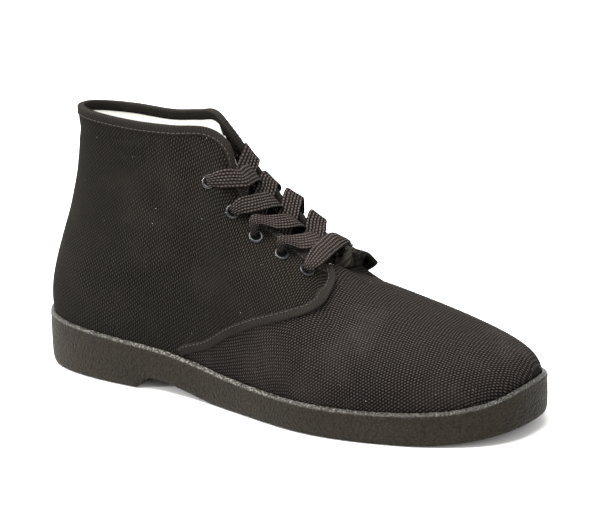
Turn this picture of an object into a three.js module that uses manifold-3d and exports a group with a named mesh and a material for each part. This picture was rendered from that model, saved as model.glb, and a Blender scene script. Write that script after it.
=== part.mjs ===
// High top lace-up sneaker with a canvas upper on a one-piece moulded sole, right shoe.
// Millimetres. +X runs to the toe, -Y is the outer side of the foot, +Z is up.
// The shoe is shaped with x = 0 at the back of the heel, and moved to its origin at the end.

import * as THREE from 'three';
import { mergeVertices } from 'three/addons/utils/BufferGeometryUtils.js';
import Module from 'manifold-3d';

const wasm = await Module();
wasm.setup();

// Driving sizes of the whole shoe
const LENGTH = 288;
const BALL_WIDTH = 106;
const COLLAR_HEIGHT = 145;

// Clearances
const SEAT_GAP = 0.3;
const LACE_GAP = 0.6;

// Sole
const HEEL_RIM = 29.5;
const HEEL_BREAST = 71.5;
const BREAST_RUN = 9;
const BREAST_HEIGHT = 6.6;
const TOE_SPRING = 7;
const LIP_WIDTH = 2.8;
const LIP_HEIGHT = 4.2;
const GROOVE_DEPTH = 0.3;
const EDGE_ROUND = 2.2;
// Shares of the length where the arch ends and the toe begins to turn up
const ARCH_END = 0.435;
const SPRING_START = 0.8;

// Upper
const WALL = 1.7;
const QUARTER_STEP = 0.9;
const SEAM_BAND = 4.6;
const SEAM_BAND_STEP = 0.6;
// How far behind the quarter's front edge its step runs out, and how deep it sits in the wall
const STEP_RUN = 26;
const EMBED = 1.2;
const INSOLE_THICKNESS = 3.5;
const TONGUE_THICKNESS = 2;
const TONGUE_TUCK = 3;
const TONGUE_SIDE = 20;
const LOBE_LIFT = { outer: 2, inner: 4 };

// Binding
const BINDING_WIDTH = 5;
const BINDING_THICKNESS = 0.7;
const BINDING_GAP = 0.55;

// Eyelets and laces
const EYELET_RADIUS = 3.9;
const EYELET_HOLE = 2.3;
const EYELET_BARREL = 2.75;
const FLANGE_HEIGHT = 0.8;
const FLANGE_GAP = 0.45;
const LACE_WIDTH = 10;
const LACE_THICKNESS = 1;
const LACE_END_WIDTH = 4.4;
const LACE_ARCH = 4;
const BAR_HEIGHT = 6.6;

// How finely the pieces are divided. RIB_CROWDING: how much closer the ribs stand at the
// collar's corners. BINDING_RIBS: how many ribs the binding passes on each side.
const RUNGS = 40;
const RIBS = 72;
const RIB_CROWDING = 0.15;
const BINDING_RIBS = 22;
const EYELET_SIDES = 10;

// Outline of the sole. at: share of the length from the heel.
// outer, inner: half widths as shares of half the ball width.
const OUTLINE = [
  { at: 0.0, outer: 0.0, inner: 0.0 },
  { at: 0.015, outer: 0.245, inner: 0.245 },
  { at: 0.05, outer: 0.438, inner: 0.443 },
  { at: 0.1, outer: 0.557, inner: 0.566 },
  { at: 0.16, outer: 0.621, inner: 0.623 },
  { at: 0.23, outer: 0.649, inner: 0.623 },
  { at: 0.31, outer: 0.657, inner: 0.585 },
  { at: 0.39, outer: 0.694, inner: 0.557 },
  { at: 0.47, outer: 0.802, inner: 0.585 },
  { at: 0.55, outer: 0.915, inner: 0.679 },
  { at: 0.62, outer: 0.989, inner: 0.792 },
  { at: 0.68, outer: 1.0, inner: 0.885 },
  { at: 0.74, outer: 0.964, inner: 0.942 },
  { at: 0.8, outer: 0.898, inner: 0.942 },
  { at: 0.86, outer: 0.8, inner: 0.887 },
  { at: 0.91, outer: 0.674, inner: 0.779 },
  { at: 0.955, outer: 0.5, inner: 0.602 },
  { at: 0.985, outer: 0.28, inner: 0.377 },
  { at: 1.0, outer: -0.104, inner: 0.104 },
];

// Height of the sole's rim and of the footbed under it, as shares of the rim at the heel.
const RIM = [
  { at: 0.0, rim: 1.0 },
  { at: 0.3, rim: 0.81 },
  { at: 0.45, rim: 0.614 },
  { at: 0.7, rim: 0.553 },
  { at: 0.87, rim: 0.62 },
  { at: 0.95, rim: 0.76 },
  { at: 1.0, rim: 0.966 },
];
const FOOTBED = [
  { at: 0.0, floor: 0.68 },
  { at: 0.3, floor: 0.58 },
  { at: 0.45, floor: 0.4 },
  { at: 0.7, floor: 0.32 },
  { at: 0.87, floor: 0.36 },
  { at: 1.0, floor: 0.52 },
];

// Ribs of the upper, from the back of the heel round to the toe, the same for both sides.
// foot: where the rib leaves the sole, as a share of the length.
// x, half, z: where it ends at the collar, facing or throat, as shares of the length,
// half the ball width and the collar height. skew moves the outer side forward, tilt lifts it.
// rise, lean: first handle, up and outward. drop, out: last handle, down and outward.
const RIBS_TABLE = [
  { foot: 0.0, x: 0.09, half: 0.0, z: 0.986, skew: 0.0, tilt: 0.0, rise: 0.2, lean: 0.014, drop: 0.36, out: -0.008 },
  { foot: 0.04, x: 0.108, half: 0.22, z: 0.984, skew: 0.0, tilt: 0.008, rise: 0.2, lean: 0.014, drop: 0.36, out: -0.009 },
  { foot: 0.11, x: 0.157, half: 0.38, z: 0.975, skew: 0.0, tilt: 0.014, rise: 0.22, lean: 0.011, drop: 0.36, out: -0.006 },
  { foot: 0.21, x: 0.24, half: 0.43, z: 0.963, skew: 0.01, tilt: 0.015, rise: 0.26, lean: 0.006, drop: 0.32, out: 0.006 },
  { foot: 0.31, x: 0.31, half: 0.39, z: 0.968, skew: 0.016, tilt: 0.006, rise: 0.26, lean: 0.004, drop: 0.26, out: 0.02 },
  { foot: 0.38, x: 0.365, half: 0.25, z: 0.972, skew: 0.02, tilt: -0.006, rise: 0.25, lean: 0.004, drop: 0.2, out: 0.05 },
  { foot: 0.43, x: 0.402, half: 0.2, z: 0.915, skew: 0.02, tilt: -0.004, rise: 0.24, lean: 0.004, drop: 0.12, out: 0.07 },
  { foot: 0.48, x: 0.43, half: 0.215, z: 0.8, skew: 0.008, tilt: 0.0, rise: 0.22, lean: 0.004, drop: 0.07, out: 0.08 },
  { foot: 0.54, x: 0.475, half: 0.225, z: 0.685, skew: 0.0, tilt: 0.0, rise: 0.19, lean: 0.004, drop: 0.045, out: 0.085 },
  { foot: 0.6, x: 0.528, half: 0.235, z: 0.604, skew: 0.0, tilt: 0.0, rise: 0.165, lean: 0.004, drop: 0.045, out: 0.095 },
  { foot: 0.66, x: 0.575, half: 0.235, z: 0.553, skew: 0.0, tilt: 0.0, rise: 0.145, lean: 0.004, drop: 0.06, out: 0.1 },
  { foot: 0.73, x: 0.597, half: 0.185, z: 0.516, skew: 0.0, tilt: 0.0, rise: 0.12, lean: 0.004, drop: 0.108, out: 0.13 },
  { foot: 0.84, x: 0.603, half: 0.09, z: 0.5, skew: 0.0, tilt: 0.0, rise: 0.116, lean: 0.004, drop: 0.172, out: 0.163 },
  { foot: 1.0, x: 0.605, half: 0.0, z: 0.494, skew: 0.0, tilt: 0.0, rise: 0.132, lean: 0.0, drop: 0.187, out: 0.215 },
];

// Front edge of a quarter, from the sole up round its lobe to the facing.
// foot, up: the edge on the upper's surface. backFoot, backUp: where its step has run out.
// lift: how far the lobe stands off the vamp, as a share of LOBE_LIFT.
const QUARTER_EDGE = [
  { foot: 0.365, up: 0.03, backFoot: 0.285, backUp: 0.1, lift: 0.0 },
  { foot: 0.41, up: 0.09, backFoot: 0.335, backUp: 0.22, lift: 0.0 },
  { foot: 0.47, up: 0.2, backFoot: 0.395, backUp: 0.36, lift: 0.0 },
  { foot: 0.545, up: 0.33, backFoot: 0.47, backUp: 0.5, lift: 0.0 },
  { foot: 0.615, up: 0.46, backFoot: 0.55, backUp: 0.62, lift: 0.05 },
  { foot: 0.68, up: 0.6, backFoot: 0.6, backUp: 0.71, lift: 0.2 },
  { foot: 0.75, up: 0.74, backFoot: 0.635, backUp: 0.78, lift: 0.5 },
  { foot: 0.83, up: 0.84, backFoot: 0.655, backUp: 0.84, lift: 0.8 },
  { foot: 0.91, up: 0.905, backFoot: 0.672, backUp: 0.89, lift: 1.0 },
  { foot: 0.95, up: 0.945, backFoot: 0.685, backUp: 0.93, lift: 1.0 },
  { foot: 0.92, up: 0.985, backFoot: 0.695, backUp: 0.975, lift: 1.0 },
];

// Eyelets from the collar down. foot, up: centre. edge: the facing's edge beside it.
const EYELETS = [
  { foot: 0.41, up: 0.76, edge: 0.48 },
  { foot: 0.505, up: 0.82, edge: 0.53 },
  { foot: 0.565, up: 0.85, edge: 0.58 },
  { foot: 0.62, up: 0.88, edge: 0.635 },
  { foot: 0.688, up: 0.9, edge: 0.7 },
];

// Tongue from under the vamp to its top. edge: the facing's edge beside the section.
// sink: extra depth, crown: rise of the middle, as shares of the tongue's depth.
const TONGUE = [
  { edge: 0.73, sink: -0.17, crown: 0.1 },
  { edge: 0.69, sink: 0.2, crown: 0.2 },
  { edge: 0.62, sink: 0.1, crown: 0.3 },
  { edge: 0.57, sink: 0.25, crown: 0.3 },
  { edge: 0.53, sink: 0.4, crown: 0.25 },
  { edge: 0.49, sink: 0.5, crown: 0.25 },
  { edge: 0.46, sink: 0.45, crown: 0.4 },
  { edge: 0.44, sink: 0.45, crown: 0.6 },
];

// Hermite curve through the rows of a table, by a key that grows
function curveThrough(keys, values) {
  const last = keys.length - 1;
  const slope = keys.map((key, i) => {
    const before = Math.max(i - 1, 0);
    const after = Math.min(i + 1, last);
    return (values[after] - values[before]) / (keys[after] - keys[before]);
  });
  return (key) => {
    let i = 0;
    while (i < last - 1 && key > keys[i + 1]) i += 1;
    const span = keys[i + 1] - keys[i];
    const t = THREE.MathUtils.clamp((key - keys[i]) / span, 0, 1);
    const t2 = t * t;
    const t3 = t2 * t;
    return (2 * t3 - 3 * t2 + 1) * values[i] + (t3 - 2 * t2 + t) * span * slope[i]
      + (3 * t2 - 2 * t3) * values[i + 1] + (t3 - t2) * span * slope[i + 1];
  };
}

// A way round the shoe is an angle: 0 at the back, pi at the toe, outer side first.
const TURN = 2 * Math.PI;
const angleAt = (share) => Math.acos(1 - 2 * share);
const shareAt = (angle) => (1 - Math.cos(angle)) / 2;
const wrap = (angle) => ((angle % TURN) + TURN) % TURN;
const otherSide = (angle) => TURN - angle;

// A column of a table that is the same on both sides, by angle, mirrored at heel and toe
function evenColumn(rows, shareName, name, sign = 1) {
  const keys = rows.map((row) => angleAt(row[shareName]));
  const values = rows.map((row) => row[name]);
  const before = [...keys.keys()].slice(1, 3).reverse();
  const after = [...keys.keys()].slice(-3, -1).reverse();
  const curve = curveThrough(
    [...before.map((i) => -keys[i]), ...keys, ...after.map((i) => TURN - keys[i])],
    [...before.map((i) => sign * values[i]), ...values, ...after.map((i) => sign * values[i])],
  );
  return (angle) => curve(angle > Math.PI ? TURN - angle : angle);
}

// Sole outline: the outer rows, then the inner rows back to the heel
const outlineY = (() => {
  const inner = OUTLINE.slice(1, -1).reverse();
  const keys = [
    ...OUTLINE.map((row) => angleAt(row.at)),
    ...inner.map((row) => TURN - angleAt(row.at)),
  ];
  const values = [
    ...OUTLINE.map((row) => -row.outer),
    ...inner.map((row) => row.inner),
  ];
  const tail = keys.slice(-2).map((key) => key - TURN);
  const head = keys.slice(0, 2).map((key) => key + TURN);
  const curve = curveThrough([...tail, ...keys, ...head], [...values.slice(-2), ...values, ...values.slice(0, 2)]);
  return (angle) => curve(angle) * BALL_WIDTH / 2;
})();

function outlinePoint(angle, inset) {
  const at = (a) => new THREE.Vector2(LENGTH * shareAt(a), outlineY(wrap(a)));
  const small = 0.01;
  const along = at(angle + small).sub(at(angle - small)).normalize();
  const outward = new THREE.Vector2(along.y, -along.x);
  return at(angle).addScaledVector(outward, -inset);
}

function outwardAt(angle) {
  const edge = outlinePoint(angle, 0).sub(outlinePoint(angle, 1));
  return new THREE.Vector3(edge.x, edge.y, 0).normalize();
}

const rimShare = curveThrough(RIM.map((row) => row.at), RIM.map((row) => row.rim));
const floorShare = curveThrough(FOOTBED.map((row) => row.at), FOOTBED.map((row) => row.floor));
const rimHeight = (angle) => rimShare(shareAt(angle)) * HEEL_RIM;
const floorHeight = (angle) => floorShare(shareAt(angle)) * HEEL_RIM;

// Underside: flat heel, sloped breast, arch, flat forefoot and a toe that turns up
function underside(angle) {
  const x = LENGTH * shareAt(angle);
  const archStart = HEEL_BREAST + BREAST_RUN;
  const archEnd = LENGTH * ARCH_END;
  const springStart = LENGTH * SPRING_START;
  if (x <= HEEL_BREAST) return 0;
  if (x <= archStart) return BREAST_HEIGHT * (x - HEEL_BREAST) / BREAST_RUN;
  if (x < archEnd) return BREAST_HEIGHT * (1 - THREE.MathUtils.smoothstep(x, archStart, archEnd));
  if (x <= springStart) return 0;
  return TOE_SPRING * ((x - springStart) / (LENGTH - springStart)) ** 2;
}

// Angles of the rungs across the sole, with rungs on both edges of the breast
const rungAngles = (() => {
  const angles = Array.from({ length: RUNGS + 1 }, (_, i) => Math.PI * i / RUNGS);
  for (const x of [HEEL_BREAST, HEEL_BREAST + BREAST_RUN, LENGTH * ARCH_END, LENGTH * SPRING_START]) {
    const wanted = angleAt(x / LENGTH);
    const nearest = Math.round(wanted / (Math.PI / RUNGS));
    angles[nearest] = wanted;
  }
  return angles;
})();
const ringAngles = [...rungAngles, ...rungAngles.slice(1, -1).reverse().map(otherSide)];

// A solid from a list of points and triangles
function solidFrom(points, triangles) {
  const geometry = new THREE.BufferGeometry();
  geometry.setAttribute('position', new THREE.Float32BufferAttribute(points.flatMap((p) => [p.x, p.y, p.z]), 3));
  geometry.setIndex(triangles.flat());
  return toManifold(geometry);
}

function toManifold(geometry) {
  const bare = geometry.clone();
  bare.deleteAttribute('normal');
  bare.deleteAttribute('uv');
  const merged = mergeVertices(bare, 1e-4);
  return new wasm.Manifold(new wasm.Mesh({
    numProp: 3,
    vertProperties: new Float32Array(merged.attributes.position.array),
    triVerts: new Uint32Array(merged.index.array),
  }));
}

function toGeometry(solid) {
  const mesh = solid.getMesh();
  const geometry = new THREE.BufferGeometry();
  geometry.setAttribute('position', new THREE.BufferAttribute(new Float32Array(mesh.vertProperties), 3));
  geometry.setIndex(new THREE.BufferAttribute(new Uint32Array(mesh.triVerts), 1));
  return geometry;
}

// Closed body of rings stacked from the bottom, capped by ladders between the two sides
function ringStack(rings) {
  const count = rings[0].length;
  const points = rings.flat();
  const triangles = [];
  for (let r = 0; r < rings.length - 1; r += 1) {
    for (let i = 0; i < count; i += 1) {
      const a = r * count + i;
      const b = r * count + (i + 1) % count;
      triangles.push([a, b, b + count], [a, b + count, a + count]);
    }
  }
  const top = (rings.length - 1) * count;
  for (let i = 0; i < count / 2; i += 1) {
    const rung = [i, i + 1, (count - i - 1) % count, (count - i) % count];
    triangles.push([rung[0], rung[2], rung[1]], [rung[0], rung[3], rung[2]]);
    triangles.push([top + rung[0], top + rung[1], top + rung[2]], [top + rung[0], top + rung[2], top + rung[3]]);
  }
  return { points, triangles: triangles.filter(([a, b, c]) => a !== b && b !== c && c !== a) };
}

const ring = (inset, height) => ringAngles.map((angle) => {
  const flat = outlinePoint(angle, inset);
  return new THREE.Vector3(flat.x, flat.y, height(angle));
});

function soleSolid() {
  const rings = [
    ring(EDGE_ROUND, underside),
    ring(EDGE_ROUND / 3, (a) => underside(a) + EDGE_ROUND),
    ring(0, (a) => THREE.MathUtils.lerp(underside(a), rimHeight(a), 0.45)),
    ring(GROOVE_DEPTH / 3, (a) => rimHeight(a) - LIP_HEIGHT - 1),
    ring(GROOVE_DEPTH, (a) => rimHeight(a) - LIP_HEIGHT),
    ring(GROOVE_DEPTH / 3, (a) => rimHeight(a) - LIP_HEIGHT * 0.6),
    ring(GROOVE_DEPTH / 2, (a) => rimHeight(a) - LIP_HEIGHT * 0.25),
    ring(LIP_WIDTH * 0.55, rimHeight),
    ring(LIP_WIDTH, (a) => rimHeight(a) - LIP_HEIGHT * 0.2),
    ring(LIP_WIDTH, floorHeight),
  ];
  const { points, triangles } = ringStack(rings);
  return solidFrom(points, triangles);
}

// Inside the cup of the sole: the upper stands against the lip, the insole within the upper
const UPPER_INSET = LIP_WIDTH + SEAT_GAP;
const INSOLE_INSET = UPPER_INSET + WALL + SEAT_GAP;

function insoleSolid() {
  const base = (a) => floorHeight(a) + SEAT_GAP;
  const { points, triangles } = ringStack([
    ring(INSOLE_INSET, base),
    ring(INSOLE_INSET, (a) => base(a) + INSOLE_THICKNESS - 1),
    ring(INSOLE_INSET + 1.2, (a) => base(a) + INSOLE_THICKNESS),
  ]);
  return solidFrom(points, triangles);
}

// The upper's own surface. rise runs from -1 on the footbed, 0 at the rim, to 1 at the mouth.
const rib = Object.fromEntries(['x', 'z', 'skew', 'tilt', 'rise', 'lean', 'drop', 'out']
  .map((name) => [name, evenColumn(RIBS_TABLE, 'foot', name)]));
rib.half = evenColumn(RIBS_TABLE, 'foot', 'half', -1);

function mouthPoint(angle) {
  const side = angle > Math.PI ? 1 : -1;
  return new THREE.Vector3(
    LENGTH * (rib.x(angle) - side * rib.skew(angle)),
    side * rib.half(angle) * BALL_WIDTH / 2,
    COLLAR_HEIGHT * (rib.z(angle) - side * rib.tilt(angle)),
  );
}

function surfacePoint(angle, rise) {
  const a = wrap(angle);
  const outward = outwardAt(a);
  const flat = outlinePoint(a, UPPER_INSET);
  const foot = new THREE.Vector3(flat.x, flat.y, rimHeight(a));
  const top = mouthPoint(a);
  const first = foot.clone().addScaledVector(outward, LENGTH * rib.lean(a));
  first.z += COLLAR_HEIGHT * rib.rise(a);
  const second = top.clone().addScaledVector(outward, LENGTH * rib.out(a));
  second.z -= COLLAR_HEIGHT * rib.drop(a);
  return new THREE.CubicBezierCurve3(foot, first, second, top).getPoint(rise);
}

function surfaceFrame(angle, rise) {
  const small = 0.004;
  const low = Math.max(rise - small, 0);
  const high = Math.min(rise + small, 1);
  const round = surfacePoint(angle + small, rise).sub(surfacePoint(angle - small, rise)).divideScalar(2 * small);
  const up = surfacePoint(angle, high).sub(surfacePoint(angle, low)).divideScalar(high - low);
  const normal = round.clone().cross(up).normalize();
  return { round, up, normal };
}

function wallPoint(angle, rise, depth) {
  if (rise < 0) {
    const flat = outlinePoint(angle, UPPER_INSET + depth);
    return new THREE.Vector3(flat.x, flat.y, THREE.MathUtils.lerp(rimHeight(angle), floorHeight(angle) + SEAT_GAP, -rise));
  }
  return surfacePoint(angle, rise).addScaledVector(surfaceFrame(angle, rise).normal, -depth);
}

// The rise that lies a given distance inside the mouth, measured square to its edge
function riseInside(angle, distance) {
  const { round, up } = surfaceFrame(angle, 1);
  const square = round.clone().cross(up).length() / round.length();
  return 1 - distance / square;
}

// Closed wall from a grid of outer points and the matching inner points
function wallSolid(outer, inner, closedRound) {
  const rows = outer.length;
  const columns = outer[0].length;
  const points = [...outer.flat(), ...inner.flat()];
  const back = rows * columns;
  const triangles = [];
  const quad = (a, b, c, d) => triangles.push([a, b, c], [a, c, d]);
  const last = closedRound ? columns : columns - 1;
  for (let i = 0; i < last; i += 1) {
    const next = (i + 1) % columns;
    for (let r = 0; r < rows - 1; r += 1) {
      const low = r * columns;
      const high = low + columns;
      quad(low + i, low + next, high + next, high + i);
      quad(back + low + i, back + high + i, back + high + next, back + low + next);
    }
    const top = (rows - 1) * columns;
    quad(i, back + i, back + next, next);
    quad(top + i, top + next, back + top + next, back + top + i);
  }
  if (!closedRound) {
    for (let r = 0; r < rows - 1; r += 1) {
      const low = r * columns;
      const high = low + columns;
      quad(low, high, back + high, back + low);
      quad(low + last, back + low + last, back + high + last, high + last);
    }
  }
  return solidFrom(points, triangles);
}

const RISES = [-1, 0, 0.1, 0.24, 0.4, 0.56, 0.72, 0.85, 0.94, 1];
const ribAngle = (i) => TURN * i / RIBS + RIB_CROWDING * Math.sin(2 * TURN * i / RIBS);

function upperSolid() {
  const angles = Array.from({ length: RIBS }, (_, i) => ribAngle(i));
  const grid = (depth) => RISES.map((rise) => angles.map((angle) => wallPoint(angle, rise, depth)));
  return wallSolid(grid(0), grid(WALL), true);
}

// The step of a quarter over the vamp: a strip behind its front edge, with the taped band
// along the edge standing a little higher, and the lobe lifted off the vamp.
const quarterKeys = QUARTER_EDGE.map((row, i) => i);
const quarter = Object.fromEntries(['foot', 'up', 'backFoot', 'backUp', 'lift']
  .map((name) => [name, curveThrough(quarterKeys, QUARTER_EDGE.map((row) => row[name]))]));
const BAND_SHARE = SEAM_BAND / STEP_RUN;
const QUARTER_PROFILE = [
  { across: 0, step: QUARTER_STEP + SEAM_BAND_STEP },
  { across: BAND_SHARE, step: QUARTER_STEP + SEAM_BAND_STEP },
  { across: BAND_SHARE * 1.25, step: QUARTER_STEP },
  { across: 0.7, step: QUARTER_STEP * 0.6 },
  { across: 1, step: -QUARTER_STEP / 3 },
];

function quarterPlace(side, along, across) {
  const foot = THREE.MathUtils.lerp(quarter.foot(along), quarter.backFoot(along), across);
  const up = THREE.MathUtils.lerp(quarter.up(along), quarter.backUp(along), across);
  const angle = side > 0 ? otherSide(angleAt(foot)) : angleAt(foot);
  const most = side > 0 ? LOBE_LIFT.inner : LOBE_LIFT.outer;
  return { angle, up, lift: most * quarter.lift(along) * Math.max(1 - across, 0) ** 1.5 };
}

function quarterSolid(side) {
  const steps = 22;
  const along = Array.from({ length: steps + 1 }, (_, i) => (QUARTER_EDGE.length - 1) * i / steps);
  const ordered = side > 0 ? along.reverse() : along;
  const outer = QUARTER_PROFILE.map(({ across, step }) => ordered.map((a) => {
    const place = quarterPlace(side, a, across);
    return wallPoint(place.angle, place.up, -step - place.lift);
  }));
  const inner = QUARTER_PROFILE.map(({ across }) => ordered.map((a) => {
    const place = quarterPlace(side, a, across);
    const open = side > 0 ? place.lift * (1 + EMBED / LOBE_LIFT.inner) : 0;
    return wallPoint(place.angle, place.up, EMBED - open);
  }));
  return wallSolid(outer, inner, false);
}

// The place on the quarter's strip that is nearest to a place on the upper, if one is near
function nearestOnQuarter(side, angle, up) {
  const best = { distance: 0.03 };
  for (let along = 0; along <= QUARTER_EDGE.length - 1; along += 0.25) {
    for (let across = 0; across <= 1; across += 0.05) {
      const place = quarterPlace(side, along, across);
      const distance = Math.hypot(shareAt(place.angle) - shareAt(angle), place.up - up);
      if (distance < best.distance) Object.assign(best, { distance, along, across, lift: place.lift });
    }
  }
  return best.distance < 0.03 ? best : null;
}

const stepAcross = curveThrough(
  QUARTER_PROFILE.map((row) => row.across),
  QUARTER_PROFILE.map((row) => Math.min(row.step, QUARTER_STEP)),
);

function quarterTop(side, along, across) {
  const place = quarterPlace(side, along, across);
  return wallPoint(place.angle, place.up, -stepAcross(across) - place.lift);
}

// Where an eyelet sits: on the wall, or on the quarter's step where that lies over it
function eyeletSeat(side, row) {
  const angle = side > 0 ? otherSide(angleAt(row.foot)) : angleAt(row.foot);
  const on = nearestOnQuarter(side, angle, row.up);
  if (!on) return { centre: wallPoint(angle, row.up, 0), normal: surfaceFrame(angle, row.up).normal, step: 0 };
  const small = 0.1;
  const along = quarterTop(side, on.along + small, on.across).sub(quarterTop(side, on.along - small, on.across));
  const across = quarterTop(side, on.along, on.across + small).sub(quarterTop(side, on.along, on.across - small));
  return {
    centre: quarterTop(side, on.along, on.across),
    normal: along.cross(across).normalize().multiplyScalar(-side),
    step: stepAcross(on.across) + on.lift,
  };
}

function placed(geometry, seat) {
  const turn = new THREE.Quaternion().setFromUnitVectors(new THREE.Vector3(0, 1, 0), seat.normal);
  geometry.applyQuaternion(turn);
  geometry.translate(seat.centre.x, seat.centre.y, seat.centre.z);
  return geometry;
}

function eyeletSolid(seat) {
  const foot = -seat.step - WALL;
  const profile = [
    [EYELET_HOLE, foot],
    [EYELET_BARREL, foot],
    [EYELET_BARREL, FLANGE_GAP],
    [EYELET_RADIUS, FLANGE_GAP],
    [EYELET_RADIUS - 0.6, FLANGE_GAP + FLANGE_HEIGHT],
    [EYELET_HOLE, FLANGE_GAP + FLANGE_HEIGHT],
    [EYELET_HOLE, foot],
  ].map(([radius, height]) => new THREE.Vector2(radius, height));
  return toManifold(placed(new THREE.LatheGeometry(profile, EYELET_SIDES), seat));
}

function eyeletHole(seat) {
  const depth = 2 * (WALL + seat.step) + 3;
  const drill = new THREE.CylinderGeometry(EYELET_BARREL + SEAT_GAP, EYELET_BARREL + SEAT_GAP, depth, EYELET_SIDES);
  return toManifold(placed(drill, seat));
}

// Binding tape: a U folded over the edge, from one facing round the collar to the other
function bindingSection(angle) {
  const { round, normal } = surfaceFrame(angle, 1);
  const beyond = normal.clone().cross(round).normalize().negate();
  const edge = surfacePoint(angle, 1);
  const away = edge.clone().addScaledVector(beyond, 1).sub(surfacePoint(angle, 0.97));
  if (away.length() < edge.distanceTo(surfacePoint(angle, 0.97))) beyond.negate();
  const over = BINDING_GAP + BINDING_THICKNESS;
  const atEdge = (out, depth) => edge.clone().addScaledVector(beyond, out).addScaledVector(normal, -depth);
  const half = riseInside(angle, BINDING_WIDTH / 2);
  const full = riseInside(angle, BINDING_WIDTH);
  return [
    wallPoint(angle, full, -over),
    wallPoint(angle, half, -over),
    atEdge(0, -over),
    atEdge(over, -BINDING_GAP),
    atEdge(over, WALL + BINDING_GAP),
    atEdge(0, WALL + over),
    wallPoint(angle, full, WALL + over),
    wallPoint(angle, full, WALL + BINDING_GAP),
    atEdge(0, WALL + BINDING_GAP),
    atEdge(BINDING_GAP, WALL + BINDING_GAP / 2),
    atEdge(BINDING_GAP, -BINDING_GAP / 2),
    atEdge(0, -BINDING_GAP),
    wallPoint(angle, half, -BINDING_GAP),
    wallPoint(angle, full, -BINDING_GAP),
  ];
}

// Closed body swept through sections that all have the same number of points
function sweptSolid(sections) {
  const count = sections[0].length;
  const points = sections.flat();
  const triangles = [];
  for (let s = 0; s < sections.length - 1; s += 1) {
    for (let i = 0; i < count; i += 1) {
      const a = s * count + i;
      const b = s * count + (i + 1) % count;
      triangles.push([a, b, b + count], [a, b + count, a + count]);
    }
  }
  const end = (sections.length - 1) * count;
  for (let i = 0; i < count / 2 - 1; i += 1) {
    const face = [i, i + 1, count - 2 - i, count - 1 - i];
    triangles.push([face[0], face[2], face[1]], [face[0], face[3], face[2]]);
    triangles.push([end + face[0], end + face[1], end + face[2]], [end + face[0], end + face[2], end + face[3]]);
  }
  return solidFrom(points, triangles);
}

function bindingSolid() {
  const count = 2 * BINDING_RIBS + 1;
  const sections = Array.from({ length: count }, (_, i) => bindingSection(wrap(ribAngle(BINDING_RIBS - i))));
  return sweptSolid(sections);
}

// Laces: how deep they run under a facing, and how high over it
const LACE_OVER = FLANGE_GAP + FLANGE_HEIGHT + LACE_GAP + LACE_THICKNESS / 2;
const LACE_UNDER = WALL + BINDING_GAP + BINDING_THICKNESS + LACE_GAP + LACE_THICKNESS / 2;
const TONGUE_DEPTH = LACE_UNDER + LACE_THICKNESS / 2 + LACE_GAP;

const sideAngle = (side, share) => (side > 0 ? otherSide(angleAt(share)) : angleAt(share));

function facingPoint(side, share, height) {
  const angle = sideAngle(side, share);
  return surfacePoint(angle, 1).addScaledVector(surfaceFrame(angle, 1).normal, height);
}

function eyeletPoint(side, row, height) {
  const seat = eyeletSeat(side, row);
  return seat.centre.addScaledVector(seat.normal, height);
}

const laceWidth = (t) => THREE.MathUtils.lerp(
  LACE_END_WIDTH,
  LACE_WIDTH,
  THREE.MathUtils.smoothstep(Math.min(t, 1 - t), 0.02, 0.22),
);

// Flat lace along its points: it lies on the surface at both ends and along the axis between
function strapSolid(points, axis, startNormal, endNormal) {
  const curve = new THREE.CatmullRomCurve3(points, false, 'centripetal');
  const steps = 15;
  const sections = Array.from({ length: steps + 1 }, (_, i) => {
    const t = i / steps;
    const centre = curve.getPoint(t);
    const along = curve.getTangent(t);
    const onSurface = (normal) => {
      const across = normal.clone().cross(along).normalize();
      return across.multiplyScalar(Math.sign(across.dot(axis)) || 1);
    };
    const wide = axis.clone().multiplyScalar(THREE.MathUtils.smoothstep(Math.min(t, 1 - t), 0.05, 0.35) + 1e-3)
      .addScaledVector(onSurface(t < 0.5 ? startNormal : endNormal), 1 - THREE.MathUtils.smoothstep(Math.min(t, 1 - t), 0.05, 0.35));
    wide.addScaledVector(along, -wide.dot(along)).normalize();
    const thick = along.clone().cross(wide).normalize();
    const w = laceWidth(t) / 2;
    const h = LACE_THICKNESS / 2;
    return [[-w, -h], [w, -h], [w, h], [-w, h]]
      .map(([a, b]) => centre.clone().addScaledVector(wide, a).addScaledVector(thick, b));
  });
  return sweptSolid(sections);
}

function crossingStrap(side, upper, lower) {
  const shareAlong = (t) => THREE.MathUtils.lerp(upper.edge, lower.edge, t);
  const overEdge = facingPoint(side, shareAlong(0.3), LACE_OVER + LACE_ARCH * 0.6);
  const between = sideAngle(side, THREE.MathUtils.lerp(upper.foot, shareAlong(0.3), 0.5));
  const onFacing = wallPoint(between, (upper.up + 1) / 2, -LACE_OVER - LACE_ARCH * 0.6);
  const underEdge = facingPoint(-side, shareAlong(0.75), -LACE_UNDER);
  const near = facingPoint(side, shareAlong(0.5), 0);
  const far = facingPoint(-side, shareAlong(0.5), 0);
  const middle = near.clone().lerp(far, 0.5);
  const { normal } = surfaceFrame(sideAngle(side, shareAlong(0.5)), 1);
  middle.x += normal.x * LACE_ARCH * 0.3;
  middle.z += normal.z * LACE_ARCH * 0.3;
  const axis = facingPoint(1, upper.edge, 0).sub(facingPoint(1, lower.edge, 0)).normalize();
  const end = sideAngle(-side, lower.foot);
  const points = [
    eyeletPoint(side, upper, LACE_OVER),
    onFacing,
    overEdge,
    middle,
    underEdge,
    wallPoint(end, lower.up, LACE_UNDER),
  ];
  const startNormal = eyeletSeat(side, upper).normal;
  return strapSolid(points, axis, startNormal, surfaceFrame(end, lower.up).normal);
}

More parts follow.
